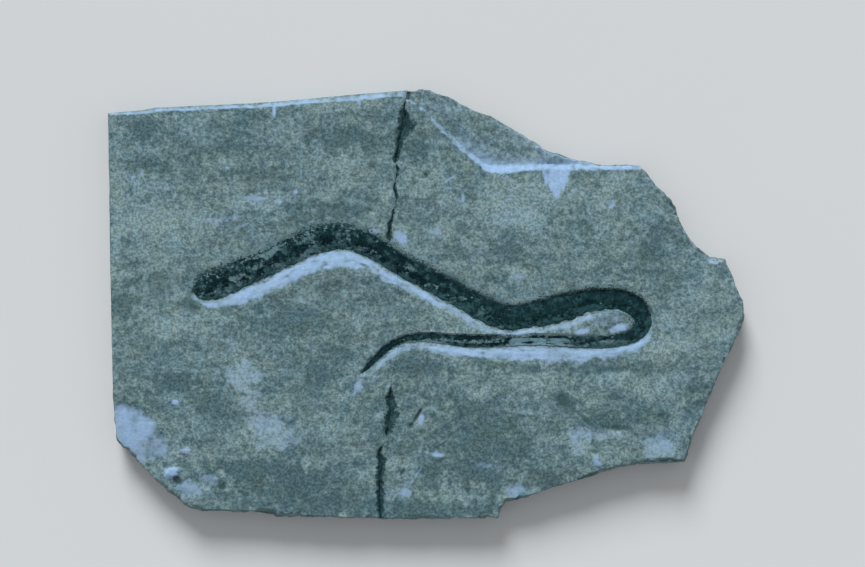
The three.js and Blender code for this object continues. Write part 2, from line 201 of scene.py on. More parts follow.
# How strongly dark grains are strewn over the stone beyond that. They also go only on the shaded side,
# and are partly painted shade.
STREWN = [
    (-4, 0.66), (24, 0.6), (40, 0.3), (84, 0.3), (100, 0.6), (118, 0.6), (130, 0.5), (146, 0.32),
    (200, 0.38), (330, 0.44), (390, 0.3), (430, 0), (620, 0),
]
# How much stone still covers the bone.
BURIED = [(-4, 0), (440, 0), (452, 0.7), (462, 0.85), (486, 0.85), (500, 0.5), (516, 0), (620, 0)]
# How much the lower part of the tail is thinned, how far across that starts, and whether bone
# stays along its lower edge.
THINNED = [(-4, 0), (488, 0), (504, 1), (552, 1), (575, 0.8), (596, 0.5), (610, 0.2), (620, 0)]
THIN_FROM = [(500, -0.35), (545, -0.3), (556, 0.3), (580, 0.5), (620, 0.6)]
LOWER_BONE = [(540, 1), (552, 0)]
# How much the skin is broken into flecks, from the head end on.
FLECKED = [
    (-4, 0.7), (50, 0.7), (100, 0.6), (150, 0.5), (200, 0.42), (245, 0.28), (300, 0.1),
    (370, 0.06), (400, 0.2), (430, 0.4), (500, 0.6), (545, 0.5), (565, 0.15), (620, 0.05),
]

# Places on the fossil where the skin is worn pale (+) or dark and whole (-), in the form that the
# marks on the face have: [x, y, half length, half width, turn in degrees, strength].
BONE_ZONES = [
    (-173.5, 14, 3.5, 3, 0, 0.5), (-163, 11, 3, 4.5, 0, 0.7), (-148, 20.8, 8, 3.4, 20, 1.4),
    (-154, 12.4, 5.5, 2.8, 20, 1), (-133.5, 28.3, 7, 2.6, 20, 1.1), (-124, 37.7, 8, 3, 28, 1),
    (-118.5, 43, 12, 3.6, 28, 1.2), (-112.3, 29.8, 6, 3.4, 25, 1), (-93.4, 50.6, 9, 3.6, 20, 1),
    (-89.5, 42.4, 8, 4.6, 20, 1.2), (-97.3, 36.1, 9, 3, 25, 1.3), (-63.6, 53.4, 9, 6, 0, 0.55),
    (-54.2, 60, 8, 2.8, -8, 0.7), (-37.7, 37.3, 3, 2, -20, 0.8), (-11.8, 28.3, 6, 3.6, -30, 1),
    (3, 15.7, 5, 3, -30, 0.4), (28.7, 4.3, 4, 3, -30, 0.9), (43, -6.3, 7, 4, -35, 0.8),
    (122.5, -2.4, 6, 3, 15, 0.4), (144, -30.4, 25, 2.8, 3, 1.1), (118, -33.4, 12, 1.6, 0, 0.6),
    (-165.6, 27.9, 4, 3, 0, -0.6), (-166, 16.5, 3, 6, 0, -1), (-167.2, 5.5, 4, 2, 0, -0.8),
    (-159, 19.2, 4, 2.5, 0, -0.8), (-147.6, 13.3, 3.5, 2, 20, -0.6),
    (-139.3, 32.6, 8, 2.6, 20, -0.6),
    (-117.4, 36.3, 4.5, 4.5, 30, -1.2), (-132.3, 23.9, 5, 2.4, 15, -1.1), (-139.7, 18, 3, 2, 30, -0.7),
    (-99.7, 42, 6, 4, 35, -0.8), (-79.3, 52.2, 4.5, 7, 20, -1), (-48.7, 47.1, 7, 4.5, -25, -0.7),
    (-34.9, 44.4, 4.5, 5, -30, -1.2), (-33, 33.8, 4, 3, -30, -0.8), (-19.2, 36.5, 6.5, 4, -35, -1.1),
    (-6.7, 20.4, 9, 4, -30, -0.7), (-3.5, 25.1, 4, 4, -30, -0.8), (11.8, 21.2, 8, 4, -30, -1.1),
    (34.5, -26.6, 17, 2, 3, -1.2), (49, -32, 18, 1.9, 2, -1.2), (64, -28.2, 4.6, 1.8, 42, -1.5),
    (82.4, -25.6, 17, 1.3, 0, -1), (81.6, -30.2, 7, 1.2, 4, -0.9), (105, -25.4, 9, 1.3, 0, -0.8),
]

# The trench's bed below the face: a fixed part, and a share of the half width.
BED_DROP = (1.6, 0.42)
BED_CLEARANCE = 0.35  # between the bed and the fossil's underside
VERTEBRA = 2.6  # spacing along the animal
TRUNK_HALF_WIDTH = 9.8  # where the bones have their full size

# ------------------------------------------------------------------ marks on the face

# Pale worn or bruised places: [x, y, half length, half width, turn in degrees, strength].
PALE_MARKS = [
    (-119.3, 152, 1.9, 8, 0, 1.1), (-53.4, 160, 1.8, 5, 20, 1), (-74, 138, 0.9, 13, 3, 0.4),
    (-230, 99.6, 2.6, 1.7, 15, 0.9), (-223, 102, 2.6, 1.8, 60, 0.9), (-156, 107, 2.4, 1.8, 0, 0.9),
    (-134.6, 82.8, 13, 3, -3, 0.75), (-114.6, 80, 2.6, 2.6, 0, 1.2), (-102, 88, 2.6, 2.2, 0, 1),
    (-161, 66.7, 22, 2.8, 8, 0.5), (-145, 61, 10, 1.8, 24, 0.55), (-40, 57, 9, 2.4, -6, 0.65),
    (-18.5, 51.5, 6.5, 6.5, -40, 0.95), (10, 57, 4, 7, 0, 0.5), (-53.6, -64, 10, 4, 71, 0.85),
    (-144, -56, 20, 13, -20, 0.42), (-139, -75, 9, 16, 0, 0.38), (-120, -100, 30, 19, -12, 0.46),
    (-131, -93, 12, 9, 0, 0.42), (-105, -106, 10, 7, -20, 0.42), (-197, -77.3, 3.4, 2.6, 0, 1.5),
    (-188.8, -115.4, 4.2, 2.8, 0, 1.6), (-200.2, -132.3, 7.2, 4.8, 20, 1.6),
    (-184, -145, 15, 13, 20, 0.62), (-169, -138, 10, 4.5, -12, 0.55), (-27, -42.5, 7, 2.2, 130, 0.4),
    (12, 50, 6, 7, 0, 0.3), (18.5, 98, 8, 1.4, 32, 0.8), (29, 83, 1.7, 5.5, 0, 0.8),
    (20, 91, 22, 1.6, -6, 0.45), (66, 68, 20, 12, 10, 0.25), (85, 72, 7, 1.4, 0, 0.5),
    (146, 77, 3.8, 1.8, 38, 1.1), (73, 22, 7, 4, 0, 0.5), (-4, -91, 2.6, 7, -18, 1.2),
    (-29.8, -64.5, 3.4, 2.6, 0, 0.7), (-8.6, -136, 24, 1.3, 56, 0.55), (9.4, -118.5, 7.6, 2.3, -8, 1),
    (-16.5, -147.6, 5, 5, 40, 0.7), (118, -106, 9, 13, 15, 0.5), (137, -103, 20, 6, -4, 0.4),
    (135, -125, 6, 5, -30, 0.8), (183, -111, 20, 13, 25, 0.5), (70, -148, 10, 7, 30, 0.62),
    (49, -127, 15, 3, -8, 0.4), (123, -21.4, 8, 3.2, 14, 1.1), (151.5, -18.4, 9, 4.2, 14, 1.4),
    (140, -11, 26, 7, 6, 0.42), (132, -9, 16, 4, 14, 0.6),
    (84, 130, 9, 1.4, -32, 0.6), (70, 133, 7, 5, -30, 0.35), (118, -8, 26, 1, 14, 0.5),
    (50, -21.5, 12, 1.6, -12, 0.6), (41, -17, 4, 2.2, -30, 0.8),
]
# Darker places, in the same form. Most are dark spots and ticks in the stone. Those beside the nodule,
# in the two notches of the right side and along the lower edges of the face are painted shade.
DARK_MARKS = [
    (-0.8, 167, 1.2, 2.6, -10, 0.9), (36, 146, 3.4, 4.8, 0, 0.75), (0, 101.3, 1.9, 2.3, 0, 1.5),
    # the mark at -194.7, -138.4 is the painted shadow of the nodule
    (-5.5, 125.6, 2, 5.5, 10, 0.5), (-194.7, -138.4, 5, 3.2, -30, 1.5), (-160, -143.6, 4.6, 3, -20, 1),
    (-34, -66, 3, 2.6, 0, 0.4), (-6.3, -87.1, 9.5, 1.3, 59, 1.5), (-11.8, -95.5, 2.4, 1.7, 30, 1.3),
    (27.5, -88.7, 4, 1.2, 66, 1), (13.3, -109.5, 7, 1.4, 33, 1.1), (8.6, -112.5, 2, 1.7, 0, 1.1),
    (-18.4, -132, 4, 1.7, 55, 1.3), (109, -76, 8, 5.4, -35, 0.8), (124, -89, 15, 3.2, -42, 0.75),
    (149, -97, 19, 2.6, -3, 0.6), (132, -115.4, 7, 2.6, 0, 0.8), (184.5, -87, 6, 2, 15, 1),
    # the marks at 194.5, 77.5 and 216, 42.6 are painted shade in notches of the right side
    (226, -51.8, 8.5, 1.8, 20, 0.6), (194.5, 77.5, 5, 3, -55, 1.6), (216, 42.6, 5, 2.6, -30, 1.6),
    # the thin marks at -125, -162; 130, -134; 191, -122.4; -180, -159 and -8, -166.4 are painted shade
    # along the lower edges of the face
    (-183, -2, 5, 7, 20, 0.5), (-125, -162, 12, 2.2, -4, 1.4), (130, -134, 18, 2.4, 19, 1.4),
    (191, -122.4, 16, 2.2, -4, 1.4), (-180, -159, 8, 2, -10, 1), (-8, -166.4, 14, 2, 0, 0.8),
]
# Broad lighter and darker zones of the face: [x, y, half length, half width, turn, strength].
ZONES = [
    (-243, 75, 7, 70, 0, 0.6), (-211, 65, 27, 9, 4, 0.9), (-173, 64, 15, 10, 0, 0.4),
    (-130, 80, 24, 8, 5, 0.9), (-99, 90, 8, 6, 0, 0.5), (-64, 96, 20, 9, 10, 0.5),
    (-62, 156, 32, 5, 3, 0.7), (-19, 54, 8, 6, 0, 0.8), (9, 56, 7, 9, 0, 0.6), (7, 94, 15, 15, 0, 0.4),
    (70, 72, 22, 11, 0, 1.1), (104, 92, 30, 12, 0, 0.5), (150, 96, 18, 10, 0, 0.9),
    (142, 78, 8, 6, 0, 0.6), (72, 23, 8, 7, 0, 0.9), (53, 12, 9, 5, -20, 0.7), (12, -5, 17, 7, -28, 0.6),
    (195, -32, 25, 8, 8, 0.8), (188, -11, 9, 9, 0, 0.6), (215, 3, 13, 15, 0, 0.4),
    (-143, -56, 15, 12, -20, 1.0), (-140, -75, 7, 11, 0, 0.9), (-125, -101, 21, 15, -14, 1.1),
    (-205, -20, 32, 10, 0, 0.5), (-199, -75, 11, 6, 0, 0.6), (-191, -114, 8, 6, 0, 0.6),
    (-181, -146, 10, 10, 0, 0.8), (121, -112, 15, 8, -20, 1.2), (146, -104, 20, 5, 5, 0.9),
    (184, -114, 17, 9, 15, 1.1), (41, -71, 13, 7, 0, 0.8), (-5, -91, 7, 7, 0, 0.6),
    (64, -150, 9, 7, 40, 0.7), (-67, -100, 27, 13, 0, 0.4), (74, -63, 31, 7, 0, 0.4),
    (180, -68, 21, 9, 0, 0.4), (-225, 95, 20, 10, 0, 0.3), (-30, 88, 8, 12, 0, 0.4),
    (-222, 136, 13, 9, 20, -0.9), (-213, 109, 24, 8, 0, -0.5), (-150, 126, 22, 10, 0, -0.4),
    (-66, 131, 34, 14, 0, -0.9), (-44, 116, 10, 10, 0, -0.6), (-120, 102, 22, 7, 0, -0.4),
    (-100, 72, 10, 10, 0, -0.6), (-64, 74, 27, 7, 0, -0.6), (-239, 0, 9, 9, 0, -0.8),
    (-184, 2, 7, 8, 0, -0.8), (-110, -12, 40, 16, 0, -0.55), (-84, -56, 15, 13, 0, -1.0),
    (-71, -36, 15, 6, 0, -0.6), (-197, -62, 20, 8, 0, -0.8), (-168, -78, 17, 12, 0, -0.6),
    (-126, -67, 5, 5, 0, -0.9), (-107, -95, 6, 5, 0, -0.9), (-138, -130, 45, 9, 0, -1.0),
    (-160, -141, 6, 5, 0, -0.8), (-105, -142, 52, 16, 0, -0.9), (-70, -158, 60, 9, 0, -0.9),
    (0, -163, 60, 9, 0, -1.1), (40, -106, 55, 42, 0, -0.75), (0, -50, 26, 9, 0, -0.9),
    (46, -97, 13, 8, 0, -1.0), (71, -114, 12, 12, 0, -0.9), (97, -138, 12, 11, 40, -0.9),
    (38, -134, 16, 10, 0, -0.7), (4, -136, 13, 13, 0, -0.8), (110, -76, 10, 7, -30, -1.1),
    (62, -49, 31, 5, 0, -0.5), (140, -91, 17, 5, -5, -0.9), (154, -97, 10, 4, -10, -0.8),
    (184, -86, 8, 5, 0, -0.9), (-6, 121, 9, 12, 0, -0.9), (33, 88, 7, 10, 0, -0.6),
    (117, 66, 15, 12, 0, -0.3), (174, 44, 12, 14, 0, -0.8), (62, 40, 30, 12, 0, -0.5),
    (19, 42, 15, 10, 0, -0.6), (129, -52, 41, 7, 0, -0.5), (172, -48, 15, 7, 0, -0.4),
    (215, -71, 11, 21, 0, -0.3), (160, 24, 40, 8, 0, -0.3),
    (80, 78, 85, 26, 0, 0.4), (-205, 58, 34, 30, 0, 0.45), (165, -94, 55, 30, 0, -0.3),
]
# A small stone nodule and a few knocks: [x, y, half length, half width, turn, height].
BUMPS = [
    (-200.2, -132.3, 6.8, 4.6, 20, 2.6), (-166, -137, 7, 3, -10, 0.7), (-114.5, 80, 2.6, 2.4, 0, 0.4),
    (-188.8, -115.4, 4, 2.8, 0, 0.7), (137, -105, 22, 7, -5, 0.7), (135, -125, 6, 4, -30, 0.7),
    (194.5, 77.5, 5, 3, -55, -2.6), (216, 42.6, 5, 3, -30, -3), (-197, -77.3, 3.2, 2.4, 0, 0.5),
    (154, -18.5, 7, 3.4, 20, 0.5), (-194, -139, 5, 3.2, -30, -0.9), (-6.3, -87.1, 9.5, 1.4, 59, -1.5),
    (-11.8, -95.5, 2.4, 1.7, 30, -1.2), (27.5, -88.7, 4, 1.2, 66, -0.9), (-18.4, -132, 4, 1.6, 55, -1),
    (110, -77, 9, 6, -35, -0.6), (149, -98, 18, 3, -3, -0.7), (0, 101.3, 2.4, 2.4, 0, -1.2),
    (-158, -143.5, 4.2, 3, -20, -0.9), (14, -108, 9, 1.6, 42, -0.5), (-119, 156, 1.8, 6, 0, -0.9),
    (-54, 160, 1.7, 5.5, 22, -0.7),
]


# ------------------------------------------------------------------ small tools


class Noise:
    """Smooth repeatable noise over points in millimetres, from about -1 to 1."""

    def __init__(self, seed):
        random = np.random.default_rng(seed)
        self.order = random.permutation(256)
        self.value = random.uniform(-1, 1, 256)
        self.shift = random.uniform(0, 100, 3)

    def layer(self, cells):
        """One layer of lumps, at points counted in lumps."""
        cell = np.floor(cells).astype(int)
        part = cells - cell
        part = part**3 * (part * (part * 6 - 15) + 10)
        total = np.zeros(len(cells))
        for corner in itertools.product((0, 1), repeat=3):
            x, y, z = (cell + corner).T
            key = self.order[(self.order[(self.order[x & 255] + y) & 255] + z) & 255]
            total += self.value[key] * np.where(corner, part, 1 - part).prod(axis=1)
        return total

    def __call__(self, points, size, octaves=1, keep=0.5):
        """size is the width of one lump, a number or one for each axis."""
        cells = points / np.asarray(size, float) + self.shift
        total, strength = np.zeros(len(points)), 1.0
        for _ in range(octaves):
            total += strength * self.layer(cells)
            cells, strength = cells * 2.03 + 17.3, strength * keep
        return total


def smooth(values, low=0.0, high=1.0):
    """0 below low, 1 above high and a soft step between them."""
    t = np.clip((values - low) / (high - low), 0, 1)
    return t * t * (3 - 2 * t)


def with_z(flat, z=0.0):
    """Flat points with a height."""
    return np.column_stack([flat, np.broadcast_to(z, len(flat))])


def table_at(table, distance):
    """The table's value at each distance, straight between its rows."""
    rows = np.asarray(table, float)
    return np.interp(distance, rows[:, 0], rows[:, 1])


def below(drop, half_width):
    """The level of a surface that lies below the face by a fixed part and a share of a width."""
    return THICKNESS - drop[0] - drop[1] * half_width


def resample(rows, step):
    """Rows of [x, y, ...] spaced evenly along their line."""
    rows = np.asarray(rows, float)
    run = np.r_[0, np.cumsum(np.hypot(*np.diff(rows[:, :2], axis=0).T))]
    places = np.linspace(0, run[-1], int(round(run[-1] / step)) + 1)
    return np.column_stack([np.interp(places, run, column) for column in rows.T])


def mark_strength(points, mark, grain):
    """How strongly an oval mark shows at each point, with a ragged edge."""
    x, y, length, width, turn, strength = mark
    angle = np.radians(turn)
    offset = points - (x, y)
    u = offset @ (np.cos(angle), np.sin(angle)) / length
    v = offset @ (-np.sin(angle), np.cos(angle)) / width
    raggedness = 0.42 * np.clip(min(length, width) / 5, 0.2, 1)
    reach = np.hypot(u, v) + raggedness * grain
    return strength * (1 - smooth(reach, 0.25, 1.2))


# ------------------------------------------------------------------ the animal's line


def centripetal_curve(points, step):
    """Points spaced about a step apart on a centripetal Catmull-Rom curve."""
    p = np.asarray(points, float)
    p = np.vstack([2 * p[0] - p[1], p, 2 * p[-1] - p[-2]])
    made = []
    for a, b, c, d in zip(p, p[1:], p[2:], p[3:]):
        gaps = [np.sqrt(np.hypot(*(q - o))) for o, q in ((a, b), (b, c), (c, d))]
        t0, t1, t2, t3 = np.cumsum([0, *gaps])
        count = max(2, int(np.hypot(*(c - b)) / step * 2))
        t = np.linspace(t1, t2, count, endpoint=False)[:, None]
        ab = ((t1 - t) * a + (t - t0) * b) / (t1 - t0)
        bc = ((t2 - t) * b + (t - t1) * c) / (t2 - t1)
        cd = ((t3 - t) * c + (t - t2) * d) / (t3 - t2)
        abc = ((t2 - t) * ab + (t - t0) * bc) / (t2 - t0)
        bcd = ((t3 - t) * bc + (t - t1) * cd) / (t3 - t1)
        made.append(((t2 - t) * abc + (t - t1) * bcd) / (t2 - t1))
    return resample(np.vstack([*made, p[-2:-1]]), step)


class Spine:
    """The animal's line, and where points of the face lie beside it."""

    STEP = 0.7
    TURN = 372.0  # the trunk comes before this distance, and the returning tail after it
    REACH = 40.0  # how far beside the line a point can be told from one that is far off

    def __init__(self):
        self.place = centripetal_curve([HEAD_REACH, *SPINE], self.STEP)
        steps = np.gradient(self.place, axis=0)
        lengths = np.hypot(*steps.T)
        self.run = steps / lengths[:, None]
        self.right = np.column_stack([self.run[:, 1], -self.run[:, 0]])
        gaps = np.hypot(*np.diff(self.place, axis=0).T)
        run = np.r_[0, np.cumsum(gaps)]
        self.distance = run - run[np.argmin(np.hypot(*(self.place - SPINE[0]).T))]
        self.head, self.length = self.distance[0], self.distance[-1]

    def at(self, distance):
        """Place, right-hand side and run at distances along the line."""
        def read(columns):
            return np.column_stack([np.interp(distance, self.distance, c) for c in columns.T])
        return read(self.place), read(self.right), read(self.run)

    def beside(self, points, first, last):
        """Distance along, distance off and side (-1 left, 1 right) on the stretch from first to last.

        Points further off than REACH get twice that. Past an end, the side turns smoothly.
        """
        index = np.flatnonzero((self.distance >= first) & (self.distance <= last))
        tree = kdtree.KDTree(len(index))
        for i in index:
            tree.insert((*self.place[i], 0), int(i))
        tree.balance()
        along = np.full(len(points), first)
        off = np.full(len(points), 2 * self.REACH)
        side = np.ones(len(points))
        low, high = self.place[index].min(0) - self.REACH, self.place[index].max(0) + self.REACH
        for k in np.flatnonzero(((points > low) & (points < high)).all(axis=1)):
            _, i, gap = tree.find((*points[k], 0))
            if gap < self.REACH:
                offset = points[k] - self.place[i]
                across = offset @ self.right[i]
                past_end = (i == index[0] or i == index[-1]) and abs(across) < gap * 0.999
                along[k] = np.clip(self.distance[i] + offset @ self.run[i], self.head, self.length)
                off[k] = gap if past_end else abs(across)
                side[k] = across / gap if past_end else np.sign(across)
        return along, off, side


spine = Spine()


# ------------------------------------------------------------------ the stone's face


class Face:
    """The height and the finish of the stone's face at any point, in millimetres."""

    FAR_INSIDE = -9  # stands for a place well short of the lip

    def __init__(self):
        seeds = (3, 5, 8, 13, 21)
        self.swell, self.grain, self.ragged, self.chisel, self.streak = map(Noise, seeds)

    def trench(self, points):
        """Depth below the face, how pale the cut is and how stained, along the animal. The pale is
        partly a painted highlight on the wall facing the light, and the stain partly painted shade on
        the side facing away.
        """
        depth, pale, stain_and_shade = (np.zeros(len(points)) for _ in range(3))
        ragged = self.ragged(with_z(points), 6.0, 3, 0.6)
        blotch = self.chisel(with_z(points), (4, 2.8, 4), 2)
        for first, last in ((spine.head, Spine.TURN), (Spine.TURN, spine.length)):
            along, off, side = spine.beside(points, first, last)
            right = (1 + side) / 2

            def either(left_table, right_table):
                return table_at(left_table, along) * (1 - right) + table_at(right_table, along) * right

            half = table_at(HALF_WIDTH, along)
            slope, fresh_and_highlight = either(LEFT_SLOPE, RIGHT_SLOPE), either(LEFT_PALE, RIGHT_PALE)
            past = off - half
            bed = THICKNESS - below(BED_DROP, half)
            flank = np.minimum(either(LEFT_DEPTH, RIGHT_DEPTH) + 0.25, bed - 0.2)
            foot = np.clip(0.3 * slope - 0.4, 0.15, 0.8)
            edge = slope * (1 + 0.16 * ragged)
            wall = np.clip((past - foot) / np.maximum(edge - foot, 0.3), 0, 1)
            rise = wall + 0.09 * np.sin(np.pi * wall) * (slope > 3)
            under = smooth(-past, 1.6, 3.2)
            cut = flank * (1 - rise) + (bed - flank) * under
            depth = np.maximum(depth, np.where(past < slope * 1.3, cut, 0))
            streak = self.streak(np.column_stack([along, past * 4.5, 0 * along]), 9.0, 2)
            feather = np.clip(0.36 * slope, 1.2, 4.2)
            outer = 1 - smooth((past - edge) / feather, -1, 0.3)
            on_slope = smooth(past + 0.8 * blotch, -0.3, 2.5) * outer
            # The sloping wall's pale is partly fresh stone and partly a painted highlight on the wall
            # that faces the light.
            strength = fresh_and_highlight * (0.80 + 0.5 * streak) * smooth(slope, 1.8, 3)
            pale = np.maximum(pale, on_slope * strength)
            # Stain goes only on the side facing away from the light, so it is partly stain and partly
            # painted shade.
            shaded = np.clip(side if first > 0 else -side, 0, 1)
            reach = table_at(STAIN_AND_SHADE_REACH, along)
            spread = 1 - smooth(past + reach * (0.15 + 0.85 * blotch), 0.2 * reach, reach)
            strewn = table_at(STREWN, along) * (1 - smooth(past, 0.3, 6.5))
            spread = np.maximum(spread, strewn) * (1 - table_at(BURIED, along))
            stain_and_shade = np.maximum(stain_and_shade, np.where(past < 9, spread * shaded, 0))
        return depth, pale, stain_and_shade

    def spall(self, points):
        """Depth below the face, and how pale the broken wall and the ledge are, at the corner. The
        wall's paleness is partly a painted highlight.
        """
        lip = np.asarray(SPALL_LIP, float)
        at = with_z(points)
        ragged = self.ragged(at, 3.0, 2)
        lip_y = np.interp(points[:, 0], lip[:, 0], lip[:, 1])
        slope = np.interp(points[:, 0], lip[:, 0], np.gradient(lip[:, 1], lip[:, 0]))
        width = np.interp(points[:, 0], lip[:, 0], lip[:, 2])
        past = (points[:, 1] - lip_y) / np.hypot(1, slope) + ragged * 0.8
        past = np.where(points[:, 0] > break_x(points[:, 1]), past, self.FAR_INSIDE)
        wall = smooth(past / width, 0, 1)
        ledge = LEDGE_DROP + LEDGE_FALL * np.clip(past - width, 0, 40)
        ledge = ledge + 0.4 * self.grain(at, 9.0, 3)
        # The wall's pale is fresh stone, and partly a painted highlight on a wall that faces the light.
        face = smooth(past, -1.2, 0.3) * (1 - smooth(past - width, -0.8, 1.8))
        face = face * table_at(LIP_PALE, points[:, 0])
        near = np.exp(-np.clip(past - width, 0, 99) / 8.0) * smooth(points[:, 0], 10, 50)
        floor = (0.12 + 0.5 * near + 0.12 * self.swell(at, 14, 2)) * (past > width * 0.7)
        chips = 0.9 + 0.25 * self.streak(at, (1.6, 9, 9)) + 0.35 * self.grain(at, 3.4, 2)
        return wall * ledge, np.maximum(face * chips, floor)

    def scars(self, points):
        """Depth and paleness of the tooth below the spall and of the flaked corner. The tooth's paleness
        is partly a painted highlight.
        """
        at = with_z(points)
        x, y = (points + 0.9 * self.ragged(at, 3.5, 2)[:, None]).T
        x = x + 3.0 * self.streak(at, (2.2, 18, 9))
        rise = np.clip((y - TOOTH_TIP[1]) / TOOTH_RISE, 0, 1.25)
        middle = TOOTH_TIP[0] + 1.2 * (1 - rise)
        inside = 1 - np.abs(x - middle) / np.maximum(TOOTH_HALF_WIDTH * rise**0.62, 0.1)
        fringe = inside + 0.3 * self.streak(at, (1.7, 15, 9), 2)
        tooth = smooth(fringe, -0.05, 0.5) * (rise > 0)
        depth = tooth * 3 * rise**1.2 * smooth(inside, 0, 0.9) ** 0.4
        depth = depth * (1 - smooth(points[:, 1], 103, 116))
        tooth = tooth * (1 - smooth(points[:, 1], 104, 108))
        # The tooth is painted paler: fresh stone, and partly a painted highlight.
        tooth = tooth * (1.3 + 0.7 * self.streak(at, (2.2, 20, 9)) - 0.02 * (x - 98).clip(0, 14))
        corner, patchy = np.ones(len(points)), self.ragged(at, 9.0, 3, 0.6)
        for (ax, ay), (bx, by) in itertools.pairwise(CORNER_SCAR):
            run = np.array((bx - ax, by - ay))
            inward = ((x - ax) * -run[1] + (y - ay) * run[0]) / np.hypot(*run)
            corner = np.minimum(corner, smooth(inward + 2.2 * patchy, -1.5, 6))
        outward = np.clip(0.8 * (CORNER_STEP[0] - x) + 0.1 * (y - CORNER_STEP[1]), 0, 40)
        depth = np.maximum(depth, corner * (0.15 + 0.04 * outward))
        mottled = 0.88 + 0.3 * self.swell(at, 10, 3) - 0.34 * smooth(x - 0.4 * (y + 95), -232, -206)
        return depth, np.maximum(tooth, mottled * corner)

    def gape(self, points):
        """Depth of the chipped places along the break, and their dark stain, which is partly mineral
        stain and partly painted shade of a deep gap.
        """
        at = with_z(points)
        wander = break_wander(with_z(points * (0, 1), THICKNESS))
        off = points[:, 0] - break_x(points[:, 1]) - wander
        rows, left, right = np.asarray(BREAK_OPENING, float).T
        y = points[:, 1] + 1.2 * self.ragged(at, 3.0, 2)
        reach = np.where(off < 0, np.interp(y, rows, left), np.interp(y, rows, right))
        reach = reach * (1.15 + 0.4 * self.grain(at, 2.4, 2) + 0.45 * self.ragged(at, 4.4, 2))
        inside = 1 - np.abs(off) / np.maximum(reach, 0.05)
        wide = smooth(reach, 0.2, 0.9)
        depth = smooth(inside, -0.1, 1) * np.clip(0.6 + 0.7 * reach, 0, 2.8)
        # The chips' stain is partly mineral stain and partly painted shade, dark as a deep open gap
        # would be.
        return depth * wide, smooth(inside, -0.5, 0.35) * wide

    def relief(self, points):
        """Low swells, bedding steps and grain of the split face."""
        at = with_z(points)
        swell = 0.30 * self.swell(at, (52, 34, 40), 3, 0.45)
        steps = self.swell(at, (70, 26, 40), 2)
        steps = 0.16 * (np.floor(steps * 4) + smooth(steps * 4 % 1, 0.35, 0.65))
        return swell + steps + 0.07 * self.grain(at, 4.0, 2) + 0.05 * self.grain(at, 1.7)

    def __call__(self, points):
        """Height, and how pale, dark and stained the stone is, at each point. Some of the pale is a
        painted highlight, and some of the dark and of the stain a painted shade.
        """
        at = with_z(points)
        ragged = self.ragged(at, 6.0, 3, 0.6)
        trench, trench_pale, stain_and_shade = self.trench(points)
        spall, spall_pale = self.spall(points)
        scar, scar_pale = self.scars(points)
        chip, chip_stain_and_shade = self.gape(points)
        bumps = sum(mark_strength(points, mark, ragged) for mark in BUMPS)
        pale = np.max([mark_strength(points, mark, ragged) for mark in PALE_MARKS], axis=0)
        dark = np.max([mark_strength(points, mark, ragged) for mark in DARK_MARKS], axis=0)
        tone = sum(mark_strength(points, zone, ragged) for zone in ZONES)
        flat = 1 - smooth(trench, 0.2, 1.5)
        relief = self.relief(points) * (0.25 + 0.75 * flat)
        tool = 0.10 * self.chisel(at, 2.2, 2) * (1 - flat)
        height = THICKNESS - FACE_DROP + relief + tool - spall - scar + bumps * flat
        height = height - np.maximum(trench, chip)
        pale = np.maximum.reduce([pale * flat, trench_pale, spall_pale, scar_pale])
        pale = pale * (1 - chip_stain_and_shade)
        stain_and_shade = np.maximum(stain_and_shade, chip_stain_and_shade)
        return height, {"pale": pale, "dark": dark * flat, "stain_and_shade": stain_and_shade, "tone": tone * flat}


broken_surface = Noise(40)


def break_x(y):
    """Where the line of the break lies."""
    x, at = np.asarray(BREAK, float).T
    return np.interp(y, at, x)


def break_wander(points):
    """How far the broken surface lies off that line, alike on both halves."""
    return BREAK_WANDER * broken_surface(points, (9, 9, 12), 3)


# ------------------------------------------------------------------ meshes of the stone


